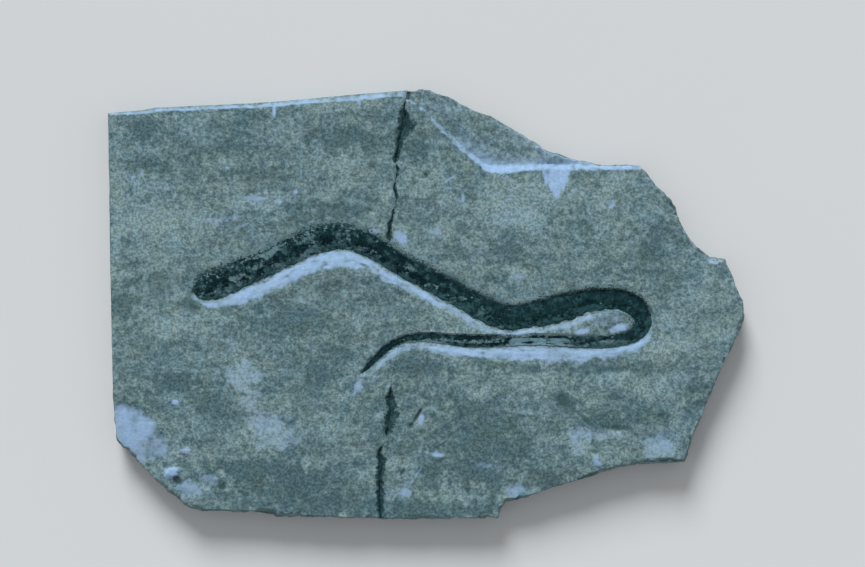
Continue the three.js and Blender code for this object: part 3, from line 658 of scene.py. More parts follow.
class Half:
    """One half of the slab: a closed mesh of its face, its sides and its underside."""

    EDGE_STEP = 1.25
    LEVELS = 19
    SHOULDER_LEVELS = (0, 0.22, 0.5, 0.8, 1)
    TRIM = 2  # points of the outline left out at each end, where it meets the break
    ARRIS_RINGS = 5  # rings over which the pale edge, partly wear and partly painted highlight, fades out
    STAIN_AND_SHADE_RINGS = 6  # rings that the face's stain and dark marks run down, painted shade among them
    TRENCH_STEP = 0.95
    TRENCH_ROWS = (0.35, 1.3)  # how far past the fossil's edge the rows of points lie
    UNDERSIDE_STEP = 7.0
    LEDGE_START = (-22, -14)  # along the upper side, where the ledge's dull edge fades in
    LEDGE_END = (60, 84)  # and where it fades out
    # Shares of the face's spacing: how far points stray from an even grid, and how near they may
    # come to the rows beside the animal and to the outline.
    JITTER = 0.22
    LEAST_GAP = 0.62
    LEAST_ROW_GAP = 0.75

    def __init__(self, outline, side, spacing):
        self.side = side  # -1 left of the break, +1 right of it
        self.spacing = spacing
        self.hackle, self.beds, self.nick, self.saw = (Noise(20 + s) for s in range(4))
        self.outline = resample(outline, self.EDGE_STEP)
        self.face = Face()

    def levels(self, brow):
        """Height and inset shares of the rings: through the shoulder, then down to the underside."""
        shoulder = np.asarray(self.SHOULDER_LEVELS)
        lower = np.linspace(0, 1, self.LEVELS - len(shoulder) + 1)[1:]
        drop = 1 + brow
        upper_z = THICKNESS - drop[:, None] * shoulder**0.9
        inset = brow[:, None] * (1 - shoulder) ** 1.35
        lower_z = (THICKNESS - drop)[:, None] * (1 - lower)
        return np.hstack([upper_z, lower_z]), np.hstack([inset, np.zeros_like(lower_z)])

    def outline_rings(self):
        """Rings along the outline, from the brow of the face down to the foot, and its roughness."""
        x, y, brow, foot, rough = self.outline.T
        line = np.column_stack([x, y])
        run = np.gradient(line, axis=0)
        kernel = np.ones(5) / 5
        run = np.column_stack([np.convolve(np.pad(c, 2, "edge"), kernel, "valid") for c in run.T])
        out = np.column_stack([run[:, 1], -run[:, 0]]) / np.hypot(*run.T)[:, None]
        flat = with_z(line)
        chips = smooth(self.nick(flat, 5.5, 2), 0.25, 0.9) * 2.2 * rough
        wobble = self.nick(flat, 14, 3) * (0.12 + 0.75 * rough)
        brow = brow * (1 + 0.28 * self.nick(flat, 9, 2) * (0.4 + 0.6 * rough)) + chips
        z, inset = self.levels(brow)
        undercut = THICKNESS / 3
        depth = np.clip((undercut - z) / undercut, 0, 1)
        inset = inset + foot[:, None] * depth
        rings = []
        for k in range(self.LEVELS):
            at = with_z(line, z[:, k])
            bed = self.beds(at, (30, 30, 2.6), 2) + 0.5 * self.beds(at, (12, 12, 1.1))
            hackle = self.hackle(at, (7, 7, 4), 3, 0.55)
            broken = 0.75 * bed + 0.85 * hackle
            sawn = 0.06 * self.saw(at, (60, 60, 0.9)) + 0.10 * self.hackle(at, 5.0, 2)
            inner = smooth(np.asarray(k / 4.0))
            foot_in = 0.7 * (k == self.LEVELS - 1)
            push = (rough * (broken - 0.9) + (1 - rough) * sawn) * (0.25 + 0.75 * inner)
            move = push + wobble * 0.6 - inset[:, k] - foot_in
            rings.append(np.column_stack([line + out * move[:, None], z[:, k]]))
        return rings, rough

    def break_rings(self, rings):
        """The broken wall, between the ends of the outline's rings."""
        start, end = rings[0][-1, 1], rings[0][0, 1]
        count = int(abs(end - start) / self.EDGE_STEP)
        share = np.linspace(0, 1, count + 1)
        made = []
        for ring in rings:
            y = ring[-1, 1] + (ring[0, 1] - ring[-1, 1]) * share
            z = ring[-1, 2] + (ring[0, 2] - ring[-1, 2]) * share
            wander = break_wander(np.column_stack([np.zeros_like(y), y, z]))
            made.append(np.column_stack([break_x(y) + wander + self.side * HAIRLINE, y, z]))
        return made

    def rows_beside_animal(self):
        """Points along the walls of the trench, so that their edges run clean."""
        distance = np.arange(spine.head, spine.length, self.TRENCH_STEP)
        place, right, _ = spine.at(distance)
        half = table_at(HALF_WIDTH, distance)
        rows = []
        for side, past in itertools.product((-1, 1), self.TRENCH_ROWS):
            rows.append(place + right * (side * (half + past))[:, None])
        return np.vstack(rows)

    def face_points(self, boundary):
        """Spread points inside the boundary, closer together than a step from nothing."""
        low, high = boundary.min(0), boundary.max(0)
        gap = self.spacing
        x, y = np.meshgrid(np.arange(low[0], high[0], gap), np.arange(low[1], high[1], gap * 0.866))
        x[1::2] += gap / 2
        random = np.random.default_rng(31)
        grid = np.column_stack([x.ravel(), y.ravel()])
        grid = grid + random.uniform(-self.JITTER, self.JITTER, grid.shape) * gap
        rows = self.thinned(self.rows_beside_animal(), boundary, self.LEAST_ROW_GAP * gap)
        grid = self.thinned(grid, np.vstack([boundary, rows]), self.LEAST_GAP * gap)
        return np.vstack([rows, grid])

    @staticmethod
    def thinned(points, fixed, least):
        """The points that lie further than least from every fixed one."""
        tree = kdtree.KDTree(len(fixed))
        for i, place in enumerate(fixed):
            tree.insert((*place, 0), i)
        tree.balance()
        kept = [p for p in points if tree.find((*p, 0))[2] > least]
        return np.array(kept)

    @staticmethod
    def triangulate(boundary, inside):
        """Triangles between a closed boundary and inside points. Boundary points come first."""
        count = len(boundary)
        places = [Vector(p) for p in boundary] + [Vector(p) for p in inside]
        edges = [(i, (i + 1) % count) for i in range(count)]
        only_inside, tolerance = 1, 1e-6
        made, _, faces, sources, _, _ = delaunay_2d_cdt(places, edges, [], only_inside, tolerance)
        index = np.full(len(made), -1)
        for new, old in enumerate(sources):
            if old:
                index[new] = old[0]
        if (index < 0).any():
            raise RuntimeError("the outline of the face crosses itself")
        faces = index[np.array([list(f) for f in faces])]
        used = np.unique(faces)
        if not np.isin(np.arange(count), used).all():
            raise RuntimeError("a point of the outline was lost")
        return faces, used

    def build(self, name):
        """The mesh of this half: its face, the rings of its sides and its underside."""
        rings, rough = self.outline_rings()
        walls = self.break_rings(rings)
        clear = slice(self.TRIM, -self.TRIM)
        loops = [np.vstack([ring[clear], wall]) for ring, wall in zip(rings, walls)]
        count = len(loops[0])
        wall_count = len(walls[0])
        on_break = np.r_[np.zeros(count - wall_count), np.ones(wall_count)]
        rough = np.r_[rough[clear], np.ones(wall_count)]
        top, bottom = loops[0][:, :2], loops[-1][:, :2]

        inside = self.face_points(top)
        faces, used = self.triangulate(top, inside)
        kept = used[used >= count] - count
        renumber = np.full(count + len(inside), -1)
        renumber[:count] = np.arange(count)
        renumber[kept + count] = count * self.LEVELS + np.arange(len(kept))
        top_faces = renumber[faces]

        low_grid = self.sparse_points(bottom, self.UNDERSIDE_STEP)
        low_faces, low_used = self.triangulate(bottom, low_grid)
        low_kept = low_used[low_used >= count] - count
        low_number = np.full(count + len(low_grid), -1)
        low_number[:count] = (self.LEVELS - 1) * count + np.arange(count)
        low_number[low_kept + count] = count * self.LEVELS + len(kept) + np.arange(len(low_kept))
        bottom_faces = low_number[low_faces][:, ::-1]

        flat = np.vstack([top, inside[kept]])
        height, finish = self.face(flat)
        loops = self.hung_from(loops, height[:count])
        points = np.vstack([
            *loops,
            np.column_stack([inside[kept], height[count:]]),
            with_z(low_grid[low_kept], 0.0),
        ])
        sides = []
        ring = np.arange(count)
        after = np.roll(ring, -1)
        for k in range(self.LEVELS - 1):
            upper, lower = k * count, (k + 1) * count
            sides.append(np.column_stack([upper + ring, lower + ring, lower + after, upper + after]))
        sides = np.vstack(sides)

        attributes = self.finishes(len(points), loops, finish, rough, on_break)
        return mesh_of(name, points, [top_faces, sides, bottom_faces], attributes)

    def hung_from(self, loops, height):
        """The rings let down from the face's real height, and the underside laid flat."""
        fall = height - loops[0][:, 2]
        hung = []
        for k, loop in enumerate(loops):
            share = np.clip(loop[:, 2] / loops[0][:, 2], 0, 1) ** 0.6
            lowered = loop.copy()
            lowered[:, 2] = loop[:, 2] + fall * share
            hung.append(lowered)
        hung[-1][:, 2] = 0
        return hung

    def sparse_points(self, boundary, gap):
        """An even grid of points inside a boundary."""
        low, high = boundary.min(0), boundary.max(0)
        x, y = np.meshgrid(np.arange(low[0], high[0], gap), np.arange(low[1], high[1], gap))
        grid = np.column_stack([x.ravel(), y.ravel()])
        return self.thinned(grid, boundary, 0.6 * gap)

    def finishes(self, total, loops, finish, rough, on_break):
        """The finish of all points: the face's own, paler arrises and stained walls of the break. The
        arrises facing the light are partly a painted highlight, and the break's stain is partly painted
        shade.
        """
        count = len(loops[0])
        values = {name: np.zeros(total) for name in (*finish, "side")}
        for name, given in finish.items():
            inner = count * self.LEVELS
            values[name][:count] = given[:count]
            values[name][inner:inner + len(given) - count] = given[count:]
        before, after = np.roll(loops[0], 1, axis=0), np.roll(loops[0], -1, axis=0)
        # Edges of the face that face the light get a painted highlight, on top of a little wear on all
        # edges.
        lit = smooth((before - after)[:, 0], 0.6, 2.2)
        for k, loop in enumerate(loops):
            here = slice(k * count, (k + 1) * count)
            pale, dark = values["pale"], values["dark"]
            ledge = smooth(loop[:, 0], *self.LEDGE_START)
            ledge = ledge * (1 - 0.9 * smooth(loop[:, 0], *self.LEDGE_END))
            arris_wear_and_highlight = (0.15 + 0.8 * lit) * (1 - 0.85 * ledge)
            paler_part = arris_wear_and_highlight * (1 - smooth(np.asarray(k / self.ARRIS_RINGS))) * (1 - on_break)
            paler_part = paler_part * (0.75 + 0.4 * self.nick(loop, 6.0, 2))
            pale[here] = np.maximum(pale[here], np.clip(paler_part, 0, 1))
            if 0 < k < self.STAIN_AND_SHADE_RINGS:
                # The break's stain, partly painted shade of the deep gap, runs down its walls.
                values["stain_and_shade"][here] = finish["stain_and_shade"][:count] * on_break
                dark[here] = finish["dark"][:count] * (1 - k / self.STAIN_AND_SHADE_RINGS)
            # Painted shade: darker patches in hollows of the lower broken sides.
            painted_hollow_shade = smooth(self.hackle(loop, (12, 12, 5), 2), 0.1, 0.7) * rough * (k > 3)
            dark[here] = np.maximum(dark[here], 0.35 * painted_hollow_shade)
            values["side"][here] = float(k > 0)
        return values


def mesh_of(name, points, groups, attributes):
    """A Blender object from points in millimetres, groups of equal-sided faces and point values."""
    mesh = bpy.data.meshes.new(name)
    corners = np.concatenate([g.ravel() for g in groups])
    sizes = np.concatenate([np.full(len(g), g.shape[1]) for g in groups])
    mesh.vertices.add(len(points))
    mesh.vertices.foreach_set("co", (points * MM).astype(np.float32).ravel())
    mesh.loops.add(len(corners))
    mesh.loops.foreach_set("vertex_index", corners.astype(np.int32))
    mesh.polygons.add(len(sizes))
    mesh.polygons.foreach_set("loop_start", np.r_[0, np.cumsum(sizes)[:-1]].astype(np.int32))
    for key, values in attributes.items():
        layer = mesh.attributes.new(key, "FLOAT", "POINT")
        layer.data.foreach_set("value", values.astype(np.float32))
    mesh.update(calc_edges=True)
    if mesh.validate():
        raise RuntimeError(f"{name} has faulty faces")
    made = bpy.data.objects.new(name, mesh)
    bpy.context.scene.collection.objects.link(made)
    return made


# ------------------------------------------------------------------ meshes of the fossil


class Length:
    """One length of the fossil, as a closed strip between two places on the animal's line."""

    STEP = 0.75
    TOP_POINTS = 33
    UNDER_POINTS = 7
    RIM_FROM = 0.84  # the edge bends down from this share of the half width on
    LEVEL = 20.0  # about how high the fossil lies, to find the break's surface there

    def __init__(self, first, last, cut_first=0, cut_last=0):
        self.first, self.last = first, last
        self.cut_first, self.cut_last = cut_first, cut_last  # side of the break, or 0 at a free end
        self.lump, self.grain, self.edge, self.loss = (Noise(50 + s) for s in range(4))

    def relief(self, along, across, half, points):
        """Height, how much stone shows, how far each place stands proud, how broken and how worn."""
        at = with_z(points)
        tail = np.clip(half / TRUNK_HALF_WIDTH, 0.25, 1)
        column = across + 0.16 * half
        off = np.abs(column) / half
        pitch = VERTEBRA * np.clip(half / TRUNK_HALF_WIDTH, 0.45, 1) ** 0.5
        beat = np.cos(2 * np.pi * along / pitch + 0.9 * self.lump(at, 16))
        swept = np.cos(2 * np.pi * (along + 0.8 * np.abs(column)) / pitch + 1.4 * self.lump(at, 11))
        vertebrae = np.exp(-((off / 0.26) ** 2)) * (0.36 + 0.28 * beat)
        ribs = smooth(off, 0.22, 0.42) * (1 - smooth(off, 0.85, 1.05)) * 0.17 * swept
        lumps = 0.38 * self.lump(at, 3.6, 2) + 0.26 * self.grain(at, 1.6, 2, 0.7)
        flecked = table_at(FLECKED, along)
        low = across / half * self.lower_side(along)
        rim = flecked * (0.72 * smooth(-low, 0.42, 1.0) + 0.2 * smooth(low, 0.5, 1.0))
        lost = self.loss(at, (4.6, 2.8, 3), 3, 0.6) + 0.12 * low + rim
        lost = smooth(lost, 0.8 - 0.8 * flecked, 1.45 - 0.8 * flecked)
        buried = table_at(BURIED, along)
        cover = smooth(self.loss(at, (9, 1.6, 3), 2) + 0.3 * low, -1.1, -0.1)
        lost = np.maximum(lost, 1.8 * buried * cover)
        start = table_at(THIN_FROM, along)
        upper = smooth(low + 0.3 * self.grain(at, 2.4), start - 0.15, start + 0.35)
        upper = upper * (1 - table_at(LOWER_BONE, along) * smooth(low, 0.25, 0.55))
        lost = np.maximum(lost, 0.95 * table_at(THINNED, along) * upper)
        ragged = self.edge(at, 3.0, 2)
        zone = sum(mark_strength(points, mark, ragged) for mark in BONE_ZONES)
        lost = (lost + (0.15 + 0.5 * flecked) * zone.clip(0)) * (1 - (-zone).clip(0, 1))
        height = tail * ((vertebrae + ribs) * (1 - 0.7 * lost.clip(0, 1)) + lumps * (1 - 0.3 * lost))
        height = height - 0.3 * tail * lost
        return height, lost, height / tail, flecked, zone

    @staticmethod
    def lower_side(along):
        """1 where the right of the line is its lower side on the face, -1 where the left is."""
        return 1 - 2 * smooth(along, Spine.TURN - 20, Spine.TURN + 20)

    def rings(self):
        """The strip's sections, as rings of points, and the finish of each point."""
        count = int((self.last - self.first) / self.STEP)
        along = np.linspace(self.first, self.last, count + 1)
        place, right, run = spine.at(along)
        half = table_at(HALF_WIDTH, along)
        bed = below(BED_DROP, half) + BED_CLEARANCE
        left_depth, right_depth = table_at(LEFT_DEPTH, along), table_at(RIGHT_DEPTH, along)
        buried = table_at(BURIED, along)
        even = np.linspace(-1, 1, self.TOP_POINTS)
        left_rim = self.edge(with_z(place), 3.2, 3, 0.7)
        right_rim = self.edge(with_z(place + 300), 4.0, 3, 0.6)
        rings, finish = [], []
        for s in 0.5 * (even + np.sin(even * np.pi / 2)):  # closer together near the rims
            wander = np.minimum(1.0, 0.11 * half) * (left_rim if s < 0 else right_rim) * abs(s) ** 3
            across = s * (half + 0.25 + wander)
            at, shift = self.sheared(along, place, right, run, across)
            height, lost, ridge, flecked, zone = self.relief(along + shift, across, half, at)
            rim = smooth(np.full_like(half, abs(s)), self.RIM_FROM, 1.0)
            level = THICKNESS - FACE_DROP - left_depth * (1 - s) / 2 - right_depth * (1 + s) / 2
            edge_depth = left_depth if s < 0 else right_depth
            arch = CROWN * half * (1 - abs(s) ** 2.2) - 0.35 * rim * np.clip(edge_depth, 0.3, 1)
            sunk = buried * (0.1 + 0.1 * smooth(s * self.lower_side(along), 0.5, 1.0))
            z = level + arch * (1 - 0.8 * buried) + height * (1 - 0.85 * rim) - sunk
            rings.append(np.column_stack([at, np.maximum(z, bed + 0.3)]))
            finish.append((lost, ridge, s * self.lower_side(along), flecked, zone))
        for s in np.linspace(1, -1, self.UNDER_POINTS):
            at, _ = self.sheared(along, place, right, run, s * (half - 0.2).clip(0.1))
            rings.append(np.column_stack([at, bed]))
            finish.append(finish[self.TOP_POINTS - 1] if s > 0 else finish[0])
        return np.stack(rings, axis=1), np.stack([np.stack(f, axis=1) for f in finish], axis=1)

    def sheared(self, along, place, right, run, across):
        """Places beside the line, with the last sections of a broken end turned onto the break."""
        at = place + right * across[:, None]
        shift = np.zeros(len(along))
        for side, end, index in ((self.cut_first, self.first, 0), (self.cut_last, self.last, -1)):
            if not side:
                continue
            target = at[index].copy()
            for _ in range(6):  # slide along the run until the point lies on the break
                wander = break_wander(np.array([[0, target[1], self.LEVEL]]))[0]
                off = break_x(target[1]) + wander + side * HAIRLINE - target[0]
                target = target + run[index] * off / run[index][0]
            slide = (target - at[index]) @ run[index]
            near = 1 - smooth(np.abs(along - end), 0, 3 + 1.6 * abs(slide))
            shift = shift + slide * near
        return at + run * shift[:, None], shift

    def build(self, name):
        """The mesh of this length: its sections joined, and a cap at each end."""
        rings, finish = self.rings()
        stations, around = rings.shape[:2]
        number = np.arange(stations * around).reshape(stations, around)
        after = np.roll(number, -1, axis=1)
        sides = np.stack([number[:-1], number[1:], after[1:], after[:-1]], axis=-1).reshape(-1, 4)
        points = rings.reshape(-1, 3)
        centres = np.array([rings[0].mean(0), rings[-1].mean(0)])
        hub = stations * around
        caps = np.vstack([
            np.column_stack([np.full(around, hub), number[0], after[0]]),
            np.column_stack([np.full(around, hub + 1), after[-1], number[-1]]),
        ])
        values = finish.transpose(2, 0, 1).reshape(-1, hub)
        values = (np.r_[v, v[:1], v[around * (stations - 1)]] for v in values)
        attributes = dict(zip(("lost", "ridge", "low", "flecked", "zone"), values))
        points = np.vstack([points, centres])
        return mesh_of(name, points, [sides, caps], attributes)


# ------------------------------------------------------------------ materials


class Socket:
    """A shader value. Sums on it add Math nodes."""

    def __init__(self, surface, socket):
        self.surface, self.socket = surface, socket

    def _sum(self, operation, *values):
        return self.surface.node("ShaderNodeMath", {"operation": operation}, dict(enumerate(values)))

    def __add__(self, other):
        return self._sum("ADD", self, other)

    def __sub__(self, other):
        return self._sum("SUBTRACT", self, other)

    def __rsub__(self, other):
        return self._sum("SUBTRACT", other, self)

    def __mul__(self, other):
        return self._sum("MULTIPLY", self, other)

    __radd__, __rmul__ = __add__, __mul__

    def most(self, other):
        return self._sum("MAXIMUM", self, other)


class Surface:
    """A node material with one Principled shader."""

    def __init__(self, name):
        self.material = bpy.data.materials.new(name)
        self.material.use_nodes = True
        self.tree = self.material.node_tree
        self.tree.nodes.clear()
        self.coordinates = self.node("ShaderNodeTexCoord", output="Object")

    def node(self, kind, settings=None, inputs=None, output=0):
        """Adds a node, sets it up, fills its sockets with values or links, returns one output."""
        made = self.tree.nodes.new(kind)
        for key, value in (settings or {}).items():
            setattr(made, key, value)
        for key, value in (inputs or {}).items():
            if isinstance(value, Socket):
                self.tree.links.new(value.socket, made.inputs[key])
            else:
                made.inputs[key].default_value = value
        return Socket(self, made.outputs[output]) if made.outputs else None

    def attribute(self, name):
        """A value that the mesh's points carry."""
        return self.node("ShaderNodeAttribute", {"attribute_name": name}, output="Fac")

    def noise(self, size, detail=2.0, roughness=0.5):
        """Noise with lumps of this size in millimetres, a number or one for each axis."""
        sizes = (size,) * 3 if np.isscalar(size) else size
        at = self.node("ShaderNodeVectorMath", {"operation": "MULTIPLY"},
                       {0: self.coordinates, 1: tuple(1 / (MM * s) for s in sizes)})
        return self.node("ShaderNodeTexNoise", None, {
            "Vector": at, "Scale": 1.0, "Detail": detail, "Roughness": roughness})

    def step(self, value, low, high):
        """0 below low, 1 above high, and a soft step between them."""
        return self.node("ShaderNodeMapRange", {"interpolation_type": "SMOOTHSTEP"}, {
            "Value": value, "From Min": low, "From Max": high}, output="Result")

    def mix(self, share, first, second, blend="MIX"):
        """Colours mixed by a share."""
        def colour(value):
            return value if isinstance(value, Socket) else (*value, 1)
        return self.node(
            "ShaderNodeMix", {"data_type": "RGBA", "blend_type": blend},
            {0: share, 6: colour(first), 7: colour(second)}, output=2)

    def finish(self, colour, roughness, height, bump, distance, specular):
        """The material of this colour and roughness, with small relief by a bump."""
        normal = self.node("ShaderNodeBump", None, {
            "Strength": bump, "Distance": distance, "Height": height})
        shader = self.node("ShaderNodeBsdfPrincipled", None, {
            "Base Color": colour, "Roughness": roughness, "Normal": normal,
            "Specular IOR Level": specular})
        self.node("ShaderNodeOutputMaterial", None, {"Surface": shader})
        return self.material


def limestone(look):
    """Mottled stone, pale where it is fresh, dark where it is bruised, and stained by the animal. Some
    pale is a painted highlight, and some dark and stain a painted shade.
    """
    s = Surface("limestone")
    names = "pale", "dark", "stain_and_shade", "tone", "side"
    pale, dark, stain_and_shade, zone, side = (s.attribute(name) for name in names)
    cloud = s.noise((70, 44, 60), 3, 0.5)
    streak = s.noise((40, 9, 30), 4, 0.6)
    mottle = s.noise(12, 4, 0.6)
    dapple = s.noise(5, 3, 0.6)
    grit = s.noise(2.7, 2, 0.6)
    speck = s.noise(1.7, 1, 0.6)
    beds = s.noise((60, 60, 2.4), 3, 0.6)

    tone = 0.13 * cloud + 0.26 * streak + 0.22 * mottle + 0.37 * dapple + 0.16 * zone
    colour = s.mix(s.step(tone, 0.38, 0.62), look.stone_dark, look.stone_light)
    hue = s.step(0.6 * s.noise(18, 3, 0.55) + 0.4 * s.noise(7, 2, 0.6), 0.36, 0.64)
    colour = s.mix(1.0, colour, s.mix(hue, look.olive_tint, look.blue_tint), "MULTIPLY")
    grain = s.step(0.5 * grit + 0.5 * speck, 0.38, 0.62)
    colour = s.mix(1.0, colour, s.mix(grain, look.grain_dark, look.grain_light), "MULTIPLY")
    bands = s.step(beds, 0.35, 0.65) * side
    colour = s.mix(bands * 0.4, colour, look.stone_bed)
    rub = 0.5 * mottle + 0.5 * dapple
    # Pale places: fresh and worn stone, and painted highlight on walls and edges that face the light.
    fresh_and_highlight = s.mix(grain * 0.5, look.stone_fresh_and_highlight, look.stone_bruise)
    patch = s.step(pale + (rub - 0.5) * 0.75 + (grit - 0.5) * 0.5, 0.05, 1.05)
    colour = s.mix(patch * s.step(pale, 0.0, 0.12), colour, fresh_and_highlight)
    # Dark marks, some of them painted shade along the lower edges, in notches and beside the nodule.
    dark_marks_and_shade = s.step(dark + (rub - 0.5) * 0.5 + (grit - 0.5) * 0.5, 0.1, 1.05)
    colour = s.mix(dark_marks_and_shade * s.step(dark, 0.0, 0.12) * 0.85, colour, look.stone_dark_and_shade)
    # Dark stain, partly painted shade beside the animal and in the break.
    dark_stain_and_shade = s.step(stain_and_shade + (dapple - 0.5) * 0.6 + (grain - 0.5) * 0.9, 0.36, 0.64)
    dark_stain_and_shade = dark_stain_and_shade * s.step(stain_and_shade, 0.02, 0.14)
    stain_and_shade_tint = s.mix(s.step(grit, 0.42, 0.62), look.stain_and_shade, look.stain_and_shade_light)
    colour = s.mix(dark_stain_and_shade * 0.94, colour, stain_and_shade_tint)

    rough = 0.98 - 0.10 * grain
    height = 0.5 * mottle + 0.4 * grit + 0.25 * speck
    return s.finish(colour, rough, height, 0.5, 0.0012, 0.15)


def fossil(look):
    """Dark bone with teal patches and flecks of the stone below it. It has a painted highlight on raised
    bone and painted shade in the hollows and on the half nearer the top of the face.
    """
    s = Surface("fossil")
    names = "lost", "ridge", "low", "flecked", "zone"
    lost, ridge, low, flecked, zone = (s.attribute(name) for name in names)
    blotch = s.noise(6, 3, 0.6)
    mottle = s.noise(3.2, 3, 0.65)
    grit = s.noise(1.9, 2, 0.7)
    speck = s.noise(1.1, 1, 0.6)
    # Painted highlight and shade: raised bone is lighter and the hollows between bones darker, by the
    # relief's height.
    lit = s.step(ridge * 0.30 + 0.5 * blotch + 0.5 * grit + 0.18 * zone, 0.30, 0.85)
    colour = s.mix(lit, look.bone_dark, look.bone)
    tone = 0.45 * blotch + 0.35 * mottle + 0.20 * grit
    # Painted shade: the half nearer the top of the face, which the trench's upper wall shades, is kept
    # darker, and the lower half is made more teal.
    teal = s.step(tone + 0.05 * flecked + 0.13 * s.step(low, 0.1, 1.0) + 0.09 * zone, 0.50, 0.66)
    colour = s.mix(teal * 0.85, colour, s.mix(flecked * 0.35, look.bone_teal, look.bone_fleck))
    pits = s.step(0.5 * mottle + 0.5 * grit, 0.42, 0.52)
    fleck = s.step(lost + (mottle - 0.5) * 1.3 + (grit - 0.5) * 1.1, 0.25, 1.05)
    covered = s.step(lost, 0.95, 1.4)
    fleck = fleck * s.step(lost, 0.0, 0.2) * (0.3 + 0.7 * pits.most(covered))
    bared = s.mix(covered, look.bone_fleck, s.mix(blotch, look.bone_fleck, look.bone_stone))
    colour = s.mix(fleck, colour, bared)
    paler_part = s.step(zone + (mottle - 0.5) * 1.2 + (grit - 0.5) * 0.9, 0.25, 1.3)
    colour = s.mix(paler_part * 0.72, colour, look.bone_fleck)
    colour = s.mix((1 - pits.most(covered)) * flecked * 0.7, colour, look.bone_dark)
    rough = 0.72 + 0.2 * mottle
    height = 0.5 * grit + 0.3 * speck + 0.6 * mottle
    return s.finish(colour, rough, height, 0.6, 0.0010, 0.06)


def plain_floor(look):
    """An even matt floor."""
    s = Surface("floor")
    haze = s.noise(400, 2, 0.5)
    colour = s.mix(haze, look.floor, tuple(0.97 * c for c in look.floor))
    return s.finish(colour, 0.9, haze, 0.02, 0.001, 0.1)


# ------------------------------------------------------------------ settings


def tint(name, description, default):
    """A colour that can be set."""
    return FloatVectorProperty(name=name, description=description, default=default,
                               subtype="COLOR", size=3, min=0, max=1)


class SlabSettings(bpy.types.PropertyGroup):
    """Size and colours of the stone."""

    face_spacing: FloatProperty(
        name="Face spacing", description="Distance between the points of the face",
        default=1.12 * MM, unit="LENGTH", precision=5)
    stone_dark: tint("Dark stone", "Darker tone of the face", (0.100, 0.178, 0.208))
    stone_light: tint("Light stone", "Lighter tone of the face", (0.268, 0.396, 0.444))
    olive_tint: tint("Olive tint", "Tint of the warmer clouds", (1.0, 0.975, 0.87))
    blue_tint: tint("Blue tint", "Tint of the cooler clouds", (0.94, 0.99, 1.0))
    grain_dark: tint("Dark grains", "Tint of the darker grains", (0.50, 0.51, 0.53))
    grain_light: tint("Light grains", "Tint of the lighter grains", (1.0, 1.0, 1.0))
    stone_bed: tint("Bedding", "Bands on the broken sides", (0.200, 0.265, 0.270))
    # Fresh stone, also used as the painted highlight on walls and edges that face the light.
    stone_fresh_and_highlight: tint("Fresh stone", "Cut and freshly broken stone", (0.292, 0.438, 0.652))
    stone_bruise: tint("Bruised stone", "Duller grains of fresh stone", (0.184, 0.312, 0.452))
    # Dark marks, also the painted shade along the lower edges, in the notches and beside the nodule.
    stone_dark_and_shade: tint("Shaded stone", "Dark marks on the face", (0.034, 0.070, 0.074))
    # Stain, also the painted shade in the break and beside the animal on the side facing away from the
    # light, with its lighter grains.
    stain_and_shade: tint("Stain", "Dark mineral stain", (0.006, 0.030, 0.036))
    stain_and_shade_light: tint("Light stain", "Paler grains of the stain", (0.022, 0.068, 0.078))


class FossilSettings(bpy.types.PropertyGroup):
    """Colours of the fossil."""

    # bone and bone_dark are mixed by the relief's height: a painted highlight on raised bone and painted
    # shade in the hollows between bones.
    bone: tint("Bone", "Raised bone", (0.012, 0.043, 0.050))
    bone_dark: tint("Bone hollows", "Hollows between the bones", (0.003, 0.016, 0.021))
    bone_teal: tint("Teal bone", "Paler greenish patches", (0.030, 0.095, 0.106))
    bone_fleck: tint("Flecks", "Stained stone showing where bone is lost", (0.122, 0.212, 0.240))
    bone_stone: tint("Cover", "Stone that still covers the bone", (0.160, 0.300, 0.390))


class StageSettings(bpy.types.PropertyGroup):
    """Floor, lights and camera."""

    floor: tint("Floor", "Floor colour", (0.66, 0.68, 0.70))
    key_strength: FloatProperty(name="Key light", description="Strength of the broad low light",
                                default=3.3, min=0)
    key_spread: FloatProperty(name="Key spread", description="Width of the key light in the sky",
                              default=np.radians(26), min=0, subtype="ANGLE")
    sky: FloatProperty(name="Sky", description="Strength of the even light", default=0.42, min=0)
    camera_height: FloatProperty(name="Camera height", description="Height over the face",
                                 default=2.2, unit="LENGTH")
    view_width: FloatProperty(name="View width", description="Width of face that the camera sees",
                              default=0.679, unit="LENGTH")


# ------------------------------------------------------------------ operators

SHARP_FROM = np.radians(52)  # edges that turn by more than this look sharp


def stand_in(piece, node, material):
    """Give a piece its material and let it take the place of the frame's plain solid."""
    piece.data.materials.append(material)
    piece.data.shade_smooth()
    piece.data.set_sharp_from_angle(angle=SHARP_FROM)
    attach(piece, BODY)
    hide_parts(node)


class FOSSILSLAB_OT_stone(bpy.types.Operator):
    """Build the two halves of the slab."""

    bl_idname = "fossil_slab.stone"
    bl_label = "Stone"

    def execute(self, context):
        look = context.scene.slab_settings
        material = limestone(look)
        spacing = look.face_spacing / MM
        for outline, side, node in (
            (LEFT_OUTLINE, -1, "slab_left"), (RIGHT_OUTLINE, 1, "slab_right"),
        ):
            piece = Half(outline, side, spacing).build(node + "_stone")
            stand_in(piece, node, material)
        return {"FINISHED"}


class FOSSILSLAB_OT_fossil(bpy.types.Operator):
    """Build the three lengths of the fossil."""

    bl_idname = "fossil_slab.fossil"
    bl_label = "Fossil"

    def execute(self, context):
        material = fossil(context.scene.fossil_settings)
        crossings = np.flatnonzero(np.diff(np.sign(spine.place[:, 0] - break_x(spine.place[:, 1]))))
        if len(crossings) != 2:
            raise RuntimeError("the animal should cross the break twice")
        upper, lower = spine.distance[crossings]
        for length, node in (
            (Length(spine.head, upper, cut_last=-1), "snake_head_end"),
            (Length(upper, lower, cut_first=1, cut_last=1), "snake_middle"),
            (Length(lower, spine.length, cut_first=-1), "snake_tail_tip"),
        ):
            stand_in(length.build(node + "_bone"), node, material)
        return {"FINISHED"}


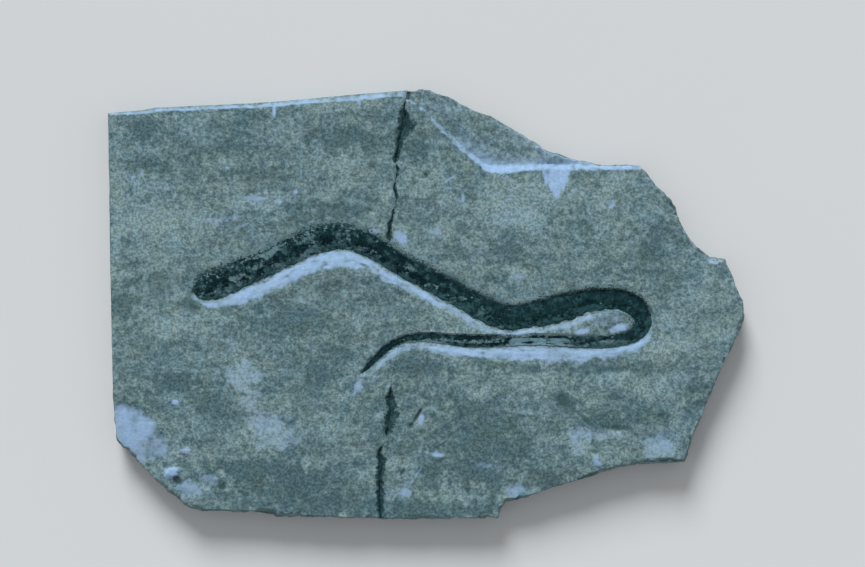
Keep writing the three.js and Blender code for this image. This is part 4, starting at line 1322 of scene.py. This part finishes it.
class FOSSILSLAB_OT_stage(bpy.types.Operator):
    """Set out the floor, the lights and the camera."""

    bl_idname = "fossil_slab.stage"
    bl_label = "Stage"

    FLOOR_WIDTH = 12  # metres
    TOWARDS_LIGHT = Vector((-0.20, 0.83, 0.52))
    SENSOR_WIDTH = 36  # millimetres
    LOOKED_AT = (5.1, 16.1)  # the place on the face below the camera

    def execute(self, context):
        look = context.scene.stage_settings
        scene = context.scene
        bpy.ops.mesh.primitive_plane_add(size=self.FLOOR_WIDTH)
        floor = context.object
        floor.name = "floor"
        floor.data.materials.append(plain_floor(look))

        world = bpy.data.worlds.new("studio")
        world.use_nodes = True
        sky = world.node_tree.nodes["Background"].inputs
        sky["Color"].default_value = (1, 1, 1, 1)
        sky["Strength"].default_value = look.sky
        scene.world = world

        key = bpy.data.lights.new("key", "SUN")
        key.energy, key.angle = look.key_strength, look.key_spread
        lamp = bpy.data.objects.new("key", key)
        lamp.location = self.TOWARDS_LIGHT.normalized()
        lamp.rotation_euler = lamp.location.to_track_quat("Z", "Y").to_euler()
        scene.collection.objects.link(lamp)

        camera = bpy.data.cameras.new("camera")
        camera.sensor_width = self.SENSOR_WIDTH
        camera.lens = camera.sensor_width * look.camera_height / look.view_width
        eye = bpy.data.objects.new("camera", camera)
        x, y = self.LOOKED_AT
        eye.location = (x * MM, y * MM, THICKNESS * MM + look.camera_height)
        scene.collection.objects.link(eye)
        scene.camera = eye
        scene.view_settings.view_transform = "Standard"
        return {"FINISHED"}


class FOSSILSLAB_PT_panel(bpy.types.Panel):
    """The slab's settings and steps."""

    bl_label = "Fossil slab"
    bl_space_type = "VIEW_3D"
    bl_region_type = "UI"
    bl_category = "Fossil slab"

    def draw(self, context):
        for name, operator in STEPS:
            settings = getattr(context.scene, name)
            box = self.layout.box()
            for key in settings.bl_rna.properties.keys():
                if key not in ("rna_type", "name"):
                    box.prop(settings, key)
            box.operator(operator.bl_idname)


SETTINGS = (
    ("slab_settings", SlabSettings), ("fossil_settings", FossilSettings),
    ("stage_settings", StageSettings),
)
STEPS = (
    ("slab_settings", FOSSILSLAB_OT_stone), ("fossil_settings", FOSSILSLAB_OT_fossil),
    ("stage_settings", FOSSILSLAB_OT_stage),
)


def register():
    for name, group in SETTINGS:
        bpy.utils.register_class(group)
        setattr(bpy.types.Scene, name, PointerProperty(type=group))
    for _, operator in STEPS:
        bpy.utils.register_class(operator)
    bpy.utils.register_class(FOSSILSLAB_PT_panel)


def unregister():
    bpy.utils.unregister_class(FOSSILSLAB_PT_panel)
    for _, operator in reversed(STEPS):
        bpy.utils.unregister_class(operator)
    for name, group in reversed(SETTINGS):
        delattr(bpy.types.Scene, name)
        bpy.utils.unregister_class(group)


def main():
    register()
    bpy.ops.fossil_slab.stone()
    bpy.ops.fossil_slab.fossil()
    bpy.ops.fossil_slab.stage()


if __name__ == "__main__":
    main()
